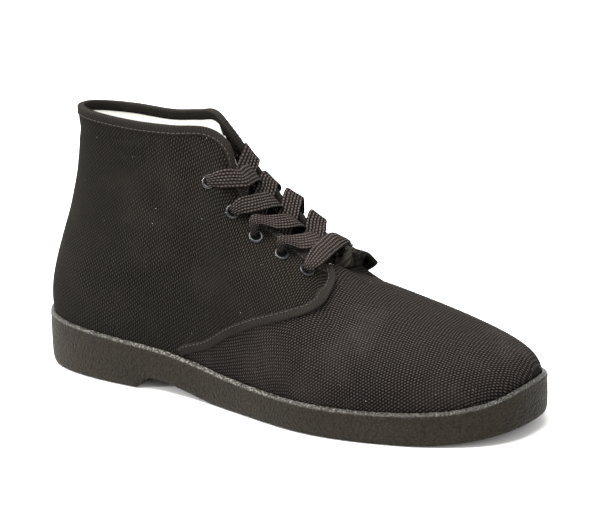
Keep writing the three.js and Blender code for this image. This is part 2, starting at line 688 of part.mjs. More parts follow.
function barStrap(row) {
  const axis = facingPoint(1, EYELETS[3].edge, 0).sub(facingPoint(1, row.edge, 0)).normalize();
  const left = facingPoint(-1, row.edge, LACE_OVER + BAR_HEIGHT);
  const right = facingPoint(1, row.edge, LACE_OVER + BAR_HEIGHT);
  const middle = left.clone().lerp(right, 0.5);
  middle.z += LACE_ARCH / 2;
  const points = [eyeletPoint(-1, row, LACE_OVER), left, middle, right, eyeletPoint(1, row, LACE_OVER)];
  return strapSolid(points, axis, eyeletSeat(-1, row).normal, eyeletSeat(1, row).normal);
}

// Tongue: a sheet under the laces and facings, tucked under the vamp at its lower end
function tongueSolid() {
  const section = (row, depth) => {
    const sunk = TONGUE_DEPTH * (1 + row.sink) + depth;
    const place = (side, inside) => {
      const angle = sideAngle(side, row.edge);
      return wallPoint(angle, riseInside(angle, inside), sunk);
    };
    const nearEdge = [place(-1, TONGUE_SIDE), place(-1, TONGUE_SIDE / 2), place(-1, 0)];
    const farEdge = [place(1, 0), place(1, TONGUE_SIDE / 2), place(1, TONGUE_SIDE)];
    const middle = nearEdge[2].clone().lerp(farEdge[0], 0.5);
    middle.z += TONGUE_DEPTH * row.crown;
    return new THREE.CatmullRomCurve3([...nearEdge, middle, ...farEdge], false, 'centripetal').getPoints(12);
  };
  const tuck = (points, next) => points.map((p, i) => p.clone()
    .add(p.clone().sub(next[i]).setLength(TONGUE_TUCK)));
  const rows = (depth) => {
    const sections = TONGUE.map((row) => section(row, depth));
    return [tuck(sections[0], sections[1]), ...sections];
  };
  return wallSolid(rows(0), rows(TONGUE_THICKNESS), false);
}

const COLOURS = {
  sole: 0x1d1c1a,
  canvas: 0x2c2925,
  insole: 0x8b867c,
  tongue: 0x26231f,
  binding: 0x24221f,
  eyelet: 0x2a2a2c,
  lace: 0x35322f,
};

const seats = [-1, 1].flatMap((side) => EYELETS.map((row, i) => ({
  name: `eyelet_${side > 0 ? 'inner' : 'outer'}_${i + 1}`,
  seat: eyeletSeat(side, row),
})));

function drilledUpper() {
  let upper = upperSolid().add(quarterSolid(-1)).add(quarterSolid(1));
  for (const { seat } of seats) upper = upper.subtract(eyeletHole(seat));
  return upper;
}

// The middle of the sole's width, so that the part stands on its own centre
const soleSides = ringAngles.map((angle) => outlinePoint(angle, 0).y);
const MIDDLE = (Math.min(...soleSides) + Math.max(...soleSides)) / 2;

const group = new THREE.Group();

function addPiece(name, solid, colour, roughness, metalness = 0) {
  const material = new THREE.MeshStandardMaterial({ color: colour, roughness, metalness });
  const mesh = new THREE.Mesh(toGeometry(solid).translate(-LENGTH / 2, -MIDDLE, 0), material);
  mesh.name = name;
  group.add(mesh);
}

addPiece('sole', soleSolid(), COLOURS.sole, 0.55);
addPiece('insole', insoleSolid(), COLOURS.insole, 0.9);
addPiece('upper', drilledUpper(), COLOURS.canvas, 0.9);
addPiece('tongue', tongueSolid(), COLOURS.tongue, 0.9);
addPiece('collar_binding', bindingSolid(), COLOURS.binding, 0.85);
for (const { name, seat } of seats) addPiece(name, eyeletSolid(seat), COLOURS.eyelet, 0.25, 1);
for (let i = 0; i < EYELETS.length - 1; i += 1) {
  const pair = crossingStrap(-1, EYELETS[i], EYELETS[i + 1]).add(crossingStrap(1, EYELETS[i], EYELETS[i + 1]));
  addPiece(`lace_cross_${i + 1}`, pair, COLOURS.lace, 0.9);
}
addPiece('lace_bar', barStrap(EYELETS[EYELETS.length - 1]), COLOURS.lace, 0.9);

export default group;
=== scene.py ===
# %% [markdown]
# High top canvas sneaker, dressed for its picture
#
# The CAD model gives every piece its place and its form. This lesson gives them cloth, rubber
# and thread. Nothing here moves a CAD piece. Where a finer surface is needed, it is worked out
# again from the shoe's own sizes and stands in for the faceted one. The first cell loads the
# CAD pieces and notes how large the shoe is before anything is added.

# %% Load the CAD frame
import math

import bmesh
import bpy
import numpy as np
from mathutils import Matrix, Vector


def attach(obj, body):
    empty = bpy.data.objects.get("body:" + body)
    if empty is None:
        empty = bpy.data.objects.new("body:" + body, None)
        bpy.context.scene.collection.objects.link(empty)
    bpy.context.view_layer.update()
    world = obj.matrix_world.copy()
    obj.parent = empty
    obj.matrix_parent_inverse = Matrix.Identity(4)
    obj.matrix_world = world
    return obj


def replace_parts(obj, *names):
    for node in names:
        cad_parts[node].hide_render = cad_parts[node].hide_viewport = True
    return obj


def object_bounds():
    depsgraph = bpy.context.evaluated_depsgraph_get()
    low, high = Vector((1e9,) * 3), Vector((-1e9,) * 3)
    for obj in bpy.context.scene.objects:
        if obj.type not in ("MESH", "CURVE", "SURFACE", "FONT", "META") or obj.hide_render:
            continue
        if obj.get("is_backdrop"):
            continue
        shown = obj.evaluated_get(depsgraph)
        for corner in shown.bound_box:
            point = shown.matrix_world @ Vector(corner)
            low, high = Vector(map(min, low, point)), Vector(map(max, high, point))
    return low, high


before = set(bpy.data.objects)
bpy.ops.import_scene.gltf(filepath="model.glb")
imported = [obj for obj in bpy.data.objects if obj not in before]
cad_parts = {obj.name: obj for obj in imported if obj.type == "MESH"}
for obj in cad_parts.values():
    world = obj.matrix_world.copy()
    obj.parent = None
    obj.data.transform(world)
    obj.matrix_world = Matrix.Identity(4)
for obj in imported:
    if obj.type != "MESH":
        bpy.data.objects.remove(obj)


def plain_box(found):
    if isinstance(found, dict):
        return {k: plain_box(v) for k, v in found.items()}
    if hasattr(found, "__len__") and not isinstance(found, str):
        return [plain_box(v) for v in found]
    return found if isinstance(found, (int, str)) else float(found)


box_before = plain_box(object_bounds())
print("CAD box", box_before)

# %% [markdown]
# A shoe is built round a last, and its sizes follow from the last's length and ball width. It
# could be sculpted by eye, but it would then drift away from the CAD model. Here the sizes are
# the ones that its source uses, in millimetres, and short tables give its curves. Points
# become metres only when a mesh is made.

# %% Sizes and the sole's tables
LENGTH, BALL_WIDTH, COLLAR_HEIGHT = 288.0, 106.0, 145.0
SEAT_GAP, HEEL_RIM = 0.3, 29.5
LIP_WIDTH, LIP_HEIGHT, EDGE_ROUND = 2.8, 4.2, 2.2
# the side is pressed in by this much just below the lip
HOLLOW = 0.3
HEEL_BREAST, BREAST_RUN, BREAST_HEIGHT, TOE_SPRING = 71.5, 9.0, 6.6, 7.0
ARCH_END, SPRING_START = 0.435, 0.8
WALL, QUARTER_STEP = 1.7, 0.9
UPPER_INSET = LIP_WIDTH + SEAT_GAP
# the frame's zero: half the length along, and this far across in the shoe's own millimetres
MIDDLE = -1.4
TURN = 2 * math.pi

# at (share of the length), outer and inner half widths (shares of half the ball width)
OUTLINE = np.array([
    (0, 0, 0), (.015, .245, .245), (.05, .438, .443), (.1, .557, .566), (.16, .621, .623),
    (.23, .649, .623), (.31, .657, .585), (.39, .694, .557), (.47, .802, .585),
    (.55, .915, .679), (.62, .989, .792), (.68, 1, .885), (.74, .964, .942), (.8, .898, .942),
    (.86, .8, .887), (.91, .674, .779), (.955, .5, .602), (.985, .28, .377), (1, -.104, .104),
])
# at, height as a share of the rim at the heel
RIM = np.array([(0, 1), (.3, .81), (.45, .614), (.7, .553), (.87, .62), (.95, .76), (1, .966)])
FOOTBED = np.array([(0, .68), (.3, .58), (.45, .4), (.7, .32), (.87, .36), (1, .52)])


def metres(points):
    """Points of the shoe in millimetres, moved into the frame and turned into metres"""
    return (np.asarray(points, float) - np.array([LENGTH / 2, MIDDLE, 0])) / 1000


print("the shoe is", LENGTH, "mm long and", COLLAR_HEIGHT, "mm high at the collar")

# %% [markdown]
# The upper is drawn over the last as a fan of ribs, from the sole's rim up to the collar, the
# facings and the throat. It could be a subdivided cage pulled about by hand. A table of ribs
# says the same in a few numbers, and each row can be set against the photo by itself.

# %% The upper's table
# foot, x, half, z, skew, tilt, rise, lean, drop, out: the ribs of the upper
RIBS = np.array([
    (0, .09, 0, .986, 0, 0, .2, .014, .36, -.008),
    (.04, .108, .22, .984, 0, .008, .2, .014, .36, -.009),
    (.11, .157, .38, .975, 0, .014, .22, .011, .36, -.006),
    (.21, .24, .43, .963, .01, .015, .26, .006, .32, .006),
    (.31, .31, .39, .968, .016, .006, .26, .004, .26, .02),
    (.38, .365, .25, .972, .02, -.006, .25, .004, .2, .05),
    (.43, .402, .2, .915, .02, -.004, .24, .004, .12, .07),
    (.48, .43, .215, .8, .008, 0, .22, .004, .07, .08),
    (.54, .475, .225, .685, 0, 0, .19, .004, .045, .085),
    (.6, .528, .235, .604, 0, 0, .165, .004, .045, .095),
    (.66, .575, .235, .553, 0, 0, .145, .004, .06, .1),
    (.73, .597, .185, .516, 0, 0, .12, .004, .108, .13),
    (.84, .603, .09, .5, 0, 0, .116, .004, .172, .163),
    (1, .605, 0, .494, 0, 0, .132, 0, .187, .215),
])
RIB_COLUMNS = ["foot", "x", "half", "z", "skew", "tilt", "rise", "lean", "drop", "out"]
print("ribs on each side of the upper:", len(RIBS))

# %% [markdown]
# Between the rows of a table, a shoemaker would bend a thin batten. A Hermite curve does the
# same: it passes through each row with the slope of its neighbours. Blender's own curves could
# do it too, but the formula gives the very points of the CAD, and works on whole arrays. The
# way round the shoe is an angle: 0 at the back of the heel, pi at the toe, outer side first.

# %% Curves through the tables
def curve_through(keys, values):
    keys, values = np.asarray(keys, float), np.asarray(values, float)
    before = np.maximum(np.arange(len(keys)) - 1, 0)
    after = np.minimum(np.arange(len(keys)) + 1, len(keys) - 1)
    slope = (values[after] - values[before]) / (keys[after] - keys[before])

    def curve(key):
        key = np.asarray(key, float)
        i = np.clip(np.searchsorted(keys, key, side="left") - 1, 0, len(keys) - 2)
        span = keys[i + 1] - keys[i]
        t = np.clip((key - keys[i]) / span, 0, 1)
        return ((2 * t**3 - 3 * t**2 + 1) * values[i] + (t**3 - 2 * t**2 + t) * span * slope[i]
                + (3 * t**2 - 2 * t**3) * values[i + 1] + (t**3 - t**2) * span * slope[i + 1])
    return curve


def angle_at(share):
    return np.arccos(np.clip(1 - 2 * np.asarray(share, float), -1, 1))


def share_at(angle):
    return (1 - np.cos(angle)) / 2


def even_column(keys, values, sign=1):
    """A column of the ribs' table as a curve, carried on past heel and toe to be smooth there"""
    a = angle_at(keys)
    curve = curve_through(
        np.concatenate([-a[[2, 1]], a, TURN - a[[-2, -3]]]),
        np.concatenate([sign * values[[2, 1]], values, sign * values[[-2, -3]]]))
    return lambda angle: curve(np.where(angle > math.pi, TURN - angle, angle))


def eased(share):
    """From 0 to 1 with a soft start and a soft end"""
    return share * share * (3 - 2 * share)


rib = {name: even_column(RIBS[:, 0], RIBS[:, i], -1 if name == "half" else 1)
       for i, name in enumerate(RIB_COLUMNS) if i}
inner_rows = OUTLINE[1:-1][::-1]
keys = np.concatenate([angle_at(OUTLINE[:, 0]), TURN - angle_at(inner_rows[:, 0])])
halves = np.concatenate([-OUTLINE[:, 1], inner_rows[:, 2]])
outline_curve = curve_through(np.concatenate([keys[-2:] - TURN, keys, keys[:2] + TURN]),
                              np.concatenate([halves[-2:], halves, halves[:2]]))
rim_share = curve_through(RIM[:, 0], RIM[:, 1])
floor_share = curve_through(FOOTBED[:, 0], FOOTBED[:, 1])
print("rim above the ball:", round(float(rim_share(.68)) * HEEL_RIM, 1), "mm")

# %% [markdown]
# The sole's outline, its rim, its footbed and its underside all follow from those curves. An
# inset outline is found by stepping in square to the edge, as a pattern cutter marks a seam
# allowance. That keeps a lip or a gap equally wide round heel and toe.

# %% Outline, rim and underside of the sole
def outline_y(angle):
    return outline_curve(np.mod(angle, TURN)) * BALL_WIDTH / 2


def outward_at(angle):
    """Unit vector in the floor plane, square to the sole's outline"""
    angle = np.asarray(angle, float)
    e = 0.01
    dx = LENGTH * (share_at(angle + e) - share_at(angle - e))
    dy = outline_y(angle + e) - outline_y(angle - e)
    n = np.hypot(dx, dy)
    return np.stack([dy / n, -dx / n, np.zeros_like(n)], -1)


def outline_point(angle, inset):
    angle = np.asarray(angle, float)
    flat = np.stack([LENGTH * share_at(angle), outline_y(angle), np.zeros_like(angle)], -1)
    return flat - outward_at(angle) * np.asarray(inset)[..., None]


def rim_height(angle):
    return rim_share(share_at(angle)) * HEEL_RIM


def floor_height(angle):
    return floor_share(share_at(angle)) * HEEL_RIM


def underside(angle):
    """Height over the floor: flat heel, sloped breast, arch, flat forefoot and toe spring"""
    x = LENGTH * share_at(angle)
    start, end, spring = HEEL_BREAST + BREAST_RUN, LENGTH * ARCH_END, LENGTH * SPRING_START
    arch = BREAST_HEIGHT * (1 - eased(np.clip((x - start) / (end - start), 0, 1)))
    toe = TOE_SPRING * (np.maximum(x - spring, 0) / (LENGTH - spring)) ** 2
    slope = BREAST_HEIGHT * (x - HEEL_BREAST) / BREAST_RUN
    return np.where(x <= HEEL_BREAST, 0,
                    np.where(x <= start, slope, np.where(x < end, arch, toe)))


print("arch at its highest:", round(float(underside(angle_at(.28)).max()), 1), "mm")

# %% [markdown]
# A lasted canvas lies over its last without a kink, even where the facings' ribs meet those of
# the throat. A subdivision surface would soften all of it alike. Here the ribs are laid out on
# a fine grid, and only the front of the shoe is eased, by moving each point a little towards
# the mean of its neighbours, many times.

# %% The upper's own surface
ANGLES, RISES = 360, 120
EASE_ROUNDS, EASE_STEP = 60, 0.35


def rib_point(angle, rise):
    angle = np.mod(angle, TURN)
    side = np.where(angle > math.pi, 1.0, -1.0)
    out = outward_at(angle)
    foot = outline_point(angle, np.full(np.shape(angle), UPPER_INSET))
    foot[..., 2] = rim_height(angle)
    top = np.stack([LENGTH * (rib["x"](angle) - side * rib["skew"](angle)),
                    side * rib["half"](angle) * BALL_WIDTH / 2,
                    COLLAR_HEIGHT * (rib["z"](angle) - side * rib["tilt"](angle))], -1)
    first = foot + out * (LENGTH * rib["lean"](angle))[..., None]
    first[..., 2] += COLLAR_HEIGHT * rib["rise"](angle)
    second = top + out * (LENGTH * rib["out"](angle))[..., None]
    second[..., 2] -= COLLAR_HEIGHT * rib["drop"](angle)
    t = np.asarray(rise, float)[..., None]
    return ((1 - t)**3 * foot + 3 * (1 - t)**2 * t * first
            + 3 * (1 - t) * t**2 * second + t**3 * top)


grid_angles = np.arange(ANGLES) * TURN / ANGLES
grid_rises = np.linspace(0, 1, RISES + 1)
all_angles, all_rises = np.meshgrid(grid_angles, grid_rises, indexing="ij")
cloth = rib_point(all_angles, all_rises)
ease = np.clip((share_at(all_angles) - 0.55) / 0.12, 0, 1) * np.clip(all_rises / 0.12, 0, 1)
for _ in range(EASE_ROUNDS):
    around = (np.roll(cloth, 1, 0) + np.roll(cloth, -1, 0)) / 2
    upward = cloth.copy()
    upward[:, 1:-1] = (cloth[:, :-2] + cloth[:, 2:]) / 2
    mean = (around + upward) / 2
    mean[:, [0, -1]] = cloth[:, [0, -1]]
    cloth += (mean - cloth) * (EASE_STEP * ease)[..., None]
print("grid of the upper:", cloth.shape[0], "ribs of", cloth.shape[1], "points")

# %% [markdown]
# Every other piece of the upper is placed on this grid by its angle round the shoe and its
# rise from the rim, so it must be read between its points too. Straight reading would leave
# facets. This reading is smooth both ways, and it gives the cloth's outward direction as well,
# which says where an eyelet faces or how far a tape stands off.

# %% Reading the surface anywhere
def look_up(table, angle, rise):
    """Smooth reading of a table over the grid: Catmull-Rom both ways, closed round the shoe"""
    a = np.mod(np.asarray(angle, float), TURN) / TURN * ANGLES
    r = np.clip(np.asarray(rise, float), 0, 1) * RISES
    i, j = np.floor(a).astype(int), np.minimum(np.floor(r).astype(int), RISES - 1)
    s, t = a - i, r - j

    def weights(x):
        return [(-x + 2 * x**2 - x**3) / 2, (2 - 5 * x**2 + 3 * x**3) / 2,
                (x + 4 * x**2 - 3 * x**3) / 2, (x**3 - x**2) / 2]
    ws, wt = weights(s), weights(t)
    total = 0
    for m in range(4):
        row = 0
        for n in range(4):
            near = table[(i + m - 1) % ANGLES, np.clip(j + n - 1, 0, RISES)]
            row = row + near * wt[n][..., None]
        total = total + row * ws[m][..., None]
    return total


def frame_at(surface, angle, rise, e=0.01):
    """Point, directions round and up, and outward normal of a surface"""
    lo, hi = np.maximum(rise - e, 0), np.minimum(rise + e, 1)
    round_ = (surface(angle + e, rise) - surface(angle - e, rise)) / (2 * e)
    up = (surface(angle, hi) - surface(angle, lo)) / (hi - lo)[..., None]
    normal = np.cross(round_, up)
    return surface(angle, rise), round_, up, normal / np.linalg.norm(normal, axis=-1)[..., None]


def base_surface(angle, rise):
    return look_up(cloth, angle, rise)


print("top of the heel:", base_surface(np.array([0.0]), np.array([1.0]))[0].round(1), "mm")

# %% [markdown]
# Worn canvas keeps soft creases where the foot bends: behind the ankle, down from the lowest
# eyelets and over the ball. They could be sculpted with a brush, but a brush can't be run again.
# Each row of the table presses one long soft trough, or raises one ridge, into the grid. They
# are placed after the photo, and fade out before the sole's rim and the collar.

# %% Soft creases
# side (-1 outer), share of the length, rise, turn in degrees, half length, half width, depth,
# the last three in mm
CREASES = [
    (-1, .12, .90, 8, 26, 4.0, -.9), (-1, .17, .78, -14, 22, 5.0, -.6),
    (-1, .10, .55, 4, 18, 6.0, -.5), (-1, .30, .60, 35, 26, 5.5, -.6),
    (-1, .38, .42, 40, 24, 6.0, -.5), (-1, .47, .22, 24, 22, 5.0, -.5),
    (-1, .66, .45, 60, 20, 6.0, -.8), (-1, .74, .55, 68, 22, 6.5, -.7),
    (1, .14, .85, 6, 24, 4.5, -.8), (1, .30, .60, 30, 26, 5.5, -.6),
    (1, .66, .45, 60, 20, 6.0, -.8), (1, .74, .55, 68, 22, 6.5, -.7),
    (-1, .22, .35, -20, 24, 7.0, .5), (1, .22, .35, -20, 24, 7.0, .5),
    (-1, .56, .30, 50, 20, 6.0, .4),
]
_, _, _, outward = frame_at(base_surface, all_angles, all_rises)
depth = np.zeros(all_angles.shape)
for side, share, rise, turn, half_length, half_width, deep in CREASES:
    on_side = (all_angles > math.pi) if side > 0 else (all_angles <= math.pi)
    angle = float(TURN - angle_at(share)) if side > 0 else float(angle_at(share))
    away = cloth - base_surface(np.array([angle]), np.array([rise]))[0]
    c, s = math.cos(math.radians(turn)), math.sin(math.radians(turn))
    along = away[..., 0] * c - away[..., 2] * s
    across = away[..., 0] * s + away[..., 2] * c
    trough = np.exp(-(along / half_length)**2 - (across / half_width)**2)
    depth += np.where(on_side, deep * trough, 0)
fade = np.clip(all_rises / 0.1, 0, 1) * np.clip((1 - all_rises) / 0.06, 0, 1)
cloth += outward * (depth * fade)[..., None]
print("the upper runs from", cloth.min((0, 1)).round(1), "to", cloth.max((0, 1)).round(1))

# %% [markdown]
# A mesh in Blender is a list of points and a list of faces. Each piece could be made with
# Blender's modelling tools, but a shoe's pieces are all sheets, tubes and rings over one
# surface, so arrays are shorter. These helpers number the faces of a sheet and of a tube, and
# turn points and faces into an object that rides with the shoe's one body.

# %% Mesh helpers
SHARP_EDGE = 40


def add_mesh(name, points, faces, uv=None, weld=True, material=None, sharp=None, second=None):
    """second: another material, the first face that may have it, and a mask from there on"""
    mesh = bpy.data.meshes.new(name)
    mesh.from_pydata(metres(points).tolist(), [], [list(map(int, f)) for f in faces])
    if uv is not None:
        layer = mesh.uv_layers.new(name="cloth")
        loops = np.empty(len(mesh.loops), dtype=np.int32)
        mesh.loops.foreach_get("vertex_index", loops)
        layer.data.foreach_set("uv", np.asarray(uv, float)[loops].ravel())
    if second:
        slots = np.zeros(len(mesh.polygons), dtype=np.int32)
        slots[second[1]:second[1] + second[2].size] = second[2].ravel()
        mesh.polygons.foreach_set("material_index", slots)
    body = bmesh.new()
    body.from_mesh(mesh)
    if weld:
        bmesh.ops.remove_doubles(body, verts=body.verts, dist=2e-6)
    bmesh.ops.recalc_face_normals(body, faces=body.faces)
    body.to_mesh(mesh)
    body.free()
    mesh.shade_smooth()
    if sharp:
        mesh.set_sharp_from_angle(angle=math.radians(sharp))
    piece = bpy.data.objects.new(name, mesh)
    bpy.context.scene.collection.objects.link(piece)
    if material:
        mesh.materials.append(material)
    if second:
        mesh.materials.append(second[0])
    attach(piece, "root")
    return piece


def grid_faces(rows, columns, start=0, flip=False):
    i, j = np.meshgrid(np.arange(rows - 1), np.arange(columns - 1), indexing="ij")
    a = (start + i * columns + j).ravel()
    quads = np.stack([a, a + 1, a + columns + 1, a + columns], -1)
    return quads[:, ::-1] if flip else quads


def tube_faces(rows, columns, start=0):
    """Quads of a tube whose rows of points each close into a ring"""
    index = start + np.arange(rows * columns).reshape(rows, columns)
    beside = np.roll(index, -1, 1)
    return np.stack([index[:-1], beside[:-1], beside[1:], index[1:]], -1).reshape(-1, 4)


print("a tube of 2 rings with 6 points has", len(tube_faces(2, 6)), "faces")

# %% [markdown]
# Cloth is a sheet with a real thickness, so each panel gets an outer face, an inner face and
# its rims. A Solidify modifier could thicken a single sheet, but here the inner face often
# follows another surface. The texture coordinates are real millimetres of cloth, so a weave
# drawn in them has the real pitch everywhere.

# %% Sheets and lines of cloth
def closed_sheet(name, outer, inner, uv, material, round_=False, inside=None):
    rows, columns = outer.shape[:2]
    back = rows * columns
    faces = [grid_faces(rows, columns), grid_faces(rows, columns, back, True)]
    index = np.arange(back).reshape(rows, columns)
    rims = [index[0], index[-1]] if round_ else [index[0], index[-1], index[:, 0], index[:, -1]]
    for rim in rims:
        faces.append(np.stack([rim[:-1], rim[1:], rim[1:] + back, rim[:-1] + back], -1))
    points = np.concatenate([outer.reshape(-1, 3), inner.reshape(-1, 3)])
    both = np.concatenate([uv.reshape(-1, 2)] * 2)
    second = (inside[0], len(faces[0]), inside[1]) if inside else None
    return add_mesh(name, points, np.concatenate(faces), both, material=material,
                    sharp=SHARP_EDGE, second=second)


def unit(v):
    v = np.asarray(v, float)
    return v / np.maximum(np.linalg.norm(v, axis=-1, keepdims=True), 1e-9)


def mix(a, b, t):
    return a + (b - a) * t


def run_along(line):
    """Length run along a line of points, from 0 at the first"""
    return np.concatenate([[0], np.cumsum(np.linalg.norm(np.diff(line, axis=0), axis=-1))])


def read_along(spots, run, line):
    """The line's columns, read at the given lengths"""
    return np.stack([np.interp(spots, run, column) for column in line.T], -1)


def smooth_rows(values, times, weight=0.5):
    values = values.copy()
    for _ in range(times):
        values[1:-1] += ((values[:-2] + values[2:]) / 2 - values[1:-1]) * weight
    return values


print("along the ridge of the heel:", round(run_along(cloth[0])[-1]), "mm of cloth")

# %% [markdown]
# A finish is a graph of nodes: some give a pattern, some mix colours, and one at the end is the
# surface. They could be placed and joined by hand in the shader editor. A small helper does the
# same in one line each: it adds a node, sets plain values on its sockets and links the rest.

# %% Node helper
class Graph:
    def __init__(self, name):
        self.material = bpy.data.materials.new(name)
        self.material.use_nodes = True
        self.tree = self.material.node_tree
        self.tree.nodes.clear()
        self.out = self.tree.nodes.new("ShaderNodeOutputMaterial")

    def add(self, kind, settings=None, **sockets):
        """A socket is named in words, or as i and its number"""
        node = self.tree.nodes.new("ShaderNode" + kind)
        for key, value in (settings or {}).items():
            setattr(node, key, value)
        for key, value in sockets.items():
            numbered = key[0] == "i" and key[1:].isdigit()
            socket = node.inputs[int(key[1:]) if numbered else key.replace("_", " ")]
            if isinstance(value, bpy.types.NodeSocket):
                self.tree.links.new(value, socket)
            else:
                socket.default_value = value
        return node

    def math(self, operation, a, b=0.0, clamp=False):
        settings = {"operation": operation, "use_clamp": clamp}
        return self.add("Math", settings, i0=a, i1=b).outputs[0]

    def plus(self, a, b, clamp=False):
        return self.math("ADD", a, b, clamp)

    def minus(self, a, b, clamp=False):
        return self.math("SUBTRACT", a, b, clamp)

    def times(self, a, b, clamp=False):
        return self.math("MULTIPLY", a, b, clamp)

    def mix(self, fac, a, b, blend="MIX"):
        settings = {"data_type": "RGBA", "blend_type": blend, "clamp_factor": True}
        node = self.add("Mix", settings, i0=fac)
        for n, value in ((6, a), (7, b)):
            if isinstance(value, bpy.types.NodeSocket):
                self.tree.links.new(value, node.inputs[n])
            else:
                node.inputs[n].default_value = (*value, 1)
        return node.outputs[2]

    def noise(self, vector, scale, detail=3.0, rough=0.5):
        return self.add("TexNoise", Vector=vector, Scale=scale, Detail=detail,
                        Roughness=rough).outputs["Fac"]

    def solid(self):
        """Place in the shoe, in metres"""
        return self.add("TexCoord").outputs["Object"]

    def part_of(self, vector, axis):
        return self.add("SeparateXYZ", i0=vector).outputs[axis]

    def facing_up(self, normal="Normal"):
        return self.part_of(self.add("NewGeometry").outputs[normal], 2)

    def bump(self, height, distance, strength=1.0):
        return self.add("Bump", Strength=strength, Distance=distance, Height=height).outputs[0]

    def finish(self, **sockets):
        shader = self.add("BsdfPrincipled", **sockets)
        self.tree.links.new(shader.outputs[0], self.out.inputs[0])
        return self.material


print("materials before any finish:", len(bpy.data.materials))

# %% [markdown]
# Canvas is a plain weave: each thread goes over one and under the next. A picture of cloth
# could be laid on, but it would repeat and carry its own light. Two sine waves give the height
# of the threads in millimetres of cloth, and the height drives both colour and bump: the gaps
# get painted shade and are nearly black, the tops of the threads grey. A slow noise bends the
# rows, as no real weave is straight, a finer one frays them, and a few specks of lint lie on top.
# Cloth that faces up gets painted light from above, so it is lighter.

# %% Woven finishes
THREAD_ROUND, FRAY, FIBRE_RELIEF, WORN = 3.0, 0.48, 0.35, 0.7
# how far rows of thread bend, in mm, and how often, in bends a mm
BEND_U, BEND_V, SHORT_BENDS, LONG_BENDS, LONG_SHARE = 0.9, 0.7, 0.35, 0.06, 3.0
LINT_COLOUR, LINT_SCALE, LINT_SHARE = (0.42, 0.4, 0.37), 0.16, 0.55
# painted light: how much lighter cloth that faces up is made, as if lit from above
TOP_PAINTED_LIGHT = 1.8
# painted shade: the near-black colour of the canvases' gaps between threads
ALL_BLACK = (.0002, .0002, .0001)


def weave_height(g, u, v, warp, weft, share=0.5, turn=0.0):
    """Height of a plain weave: threads along v every warp mm and along u every weft mm"""
    if turn:
        c, s = math.cos(math.radians(turn)), math.sin(math.radians(turn))
        u, v = g.plus(g.times(u, c), g.times(v, s)), g.minus(g.times(v, c), g.times(u, s))
    over = g.math("ABSOLUTE", g.math("SINE", g.times(u, math.pi / warp)))
    shift = g.times(g.math("FLOOR", g.math("DIVIDE", u, warp)), math.pi)
    cross = g.math("SINE", g.plus(g.times(v, math.pi / weft), shift))
    bumps = g.plus(g.times(cross, 0.5), 0.5)
    return g.plus(g.times(over, share), g.times(g.times(bumps, over), 1 - share))


def woven(name, dark, light, warp, weft, share=0.5, turn=0.0, bump=0.25, lint=0.0):
    """dark: painted shade of the gaps, light: the threads. warp, weft and bump in mm, turn in
    degrees
    """
    g = Graph(name)
    place = g.add("UVMap", {"uv_map": "cloth"}).outputs[0]
    wobble = g.plus(g.noise(place, SHORT_BENDS, 2.0),
                    g.times(g.noise(place, LONG_BENDS, 1.0), LONG_SHARE))
    u = g.plus(g.part_of(place, 0), g.times(wobble, BEND_U))
    v = g.plus(g.part_of(place, 1), g.times(wobble, BEND_V))
    height = weave_height(g, u, v, warp, weft, share, turn)
    fibre = g.noise(place, 4.5, 4.0, 0.7)
    # painted shade: the gaps between threads are mixed towards the dark colour
    tone = g.plus(g.math("POWER", height, THREAD_ROUND), g.minus(fibre, FRAY), clamp=True)
    colour = g.mix(tone, dark, light)
    worn = g.minus(g.noise(g.solid(), 28.0, 4.0, 0.6), 0.5, clamp=True)
    colour = g.mix(g.times(worn, WORN, clamp=True), colour, tuple(c * 1.1 for c in light))
    if lint:
        specks = g.add("TexVoronoi", {"feature": "F1"}, Vector=place, Scale=LINT_SCALE,
                       Randomness=1.0)
        near = g.math("LESS_THAN", specks.outputs["Distance"], lint)
        some = g.math("GREATER_THAN", g.noise(place, 0.3, 1.0), 0.55)
        colour = g.mix(g.times(g.times(near, some), LINT_SHARE), colour, LINT_COLOUR)
    # painted light: cloth that faces up is multiplied lighter, as light from above falls on it
    painted_top_light = g.times(g.facing_up(), 1.2, clamp=True)
    colour = g.mix(painted_top_light, colour, (TOP_PAINTED_LIGHT,) * 3, "MULTIPLY")
    relief = g.plus(height, g.times(fibre, FIBRE_RELIEF))
    return g.finish(Base_Color=colour, Roughness=0.9, Normal=g.bump(relief, bump / 1000),
                    Specular_IOR_Level=0.06)


quarter_canvas = woven("black canvas, ribbed", ALL_BLACK, (.026, .0222, .0176), 1.15, 1.15, .5,
                       turn=-6, bump=.55, lint=.04)
vamp_canvas = woven("black canvas, plain weave", ALL_BLACK, (.044, .0368, .033), 1.1, 1.1, .4,
                    turn=-42, bump=.6, lint=.035)
binding_tape = woven("black binding tape", (.004, .0034, .0029), (.021, .0185, .016),
                     .8, 1.6, .7, bump=.2)
lining = woven("natural cotton lining", (.84, .83, .78), (.96, .95, .91), .9, .9, .5, bump=.1)
lace_cotton = woven("flat woven lace", (.0004, .0003, .0003), (.06, .0487, .0435),
                    1.8, .95, .55, bump=.8)
tongue_canvas = woven("black canvas, tongue", (.002, .0018, .0015), (.014, .012, .0105),
                      1.3, 1.2, .5, bump=.2)
thread = woven("black thread", (.03, .027, .024), (.07, .063, .057), .5, .5, .5, bump=.05)
print("woven finishes:", len(bpy.data.materials))
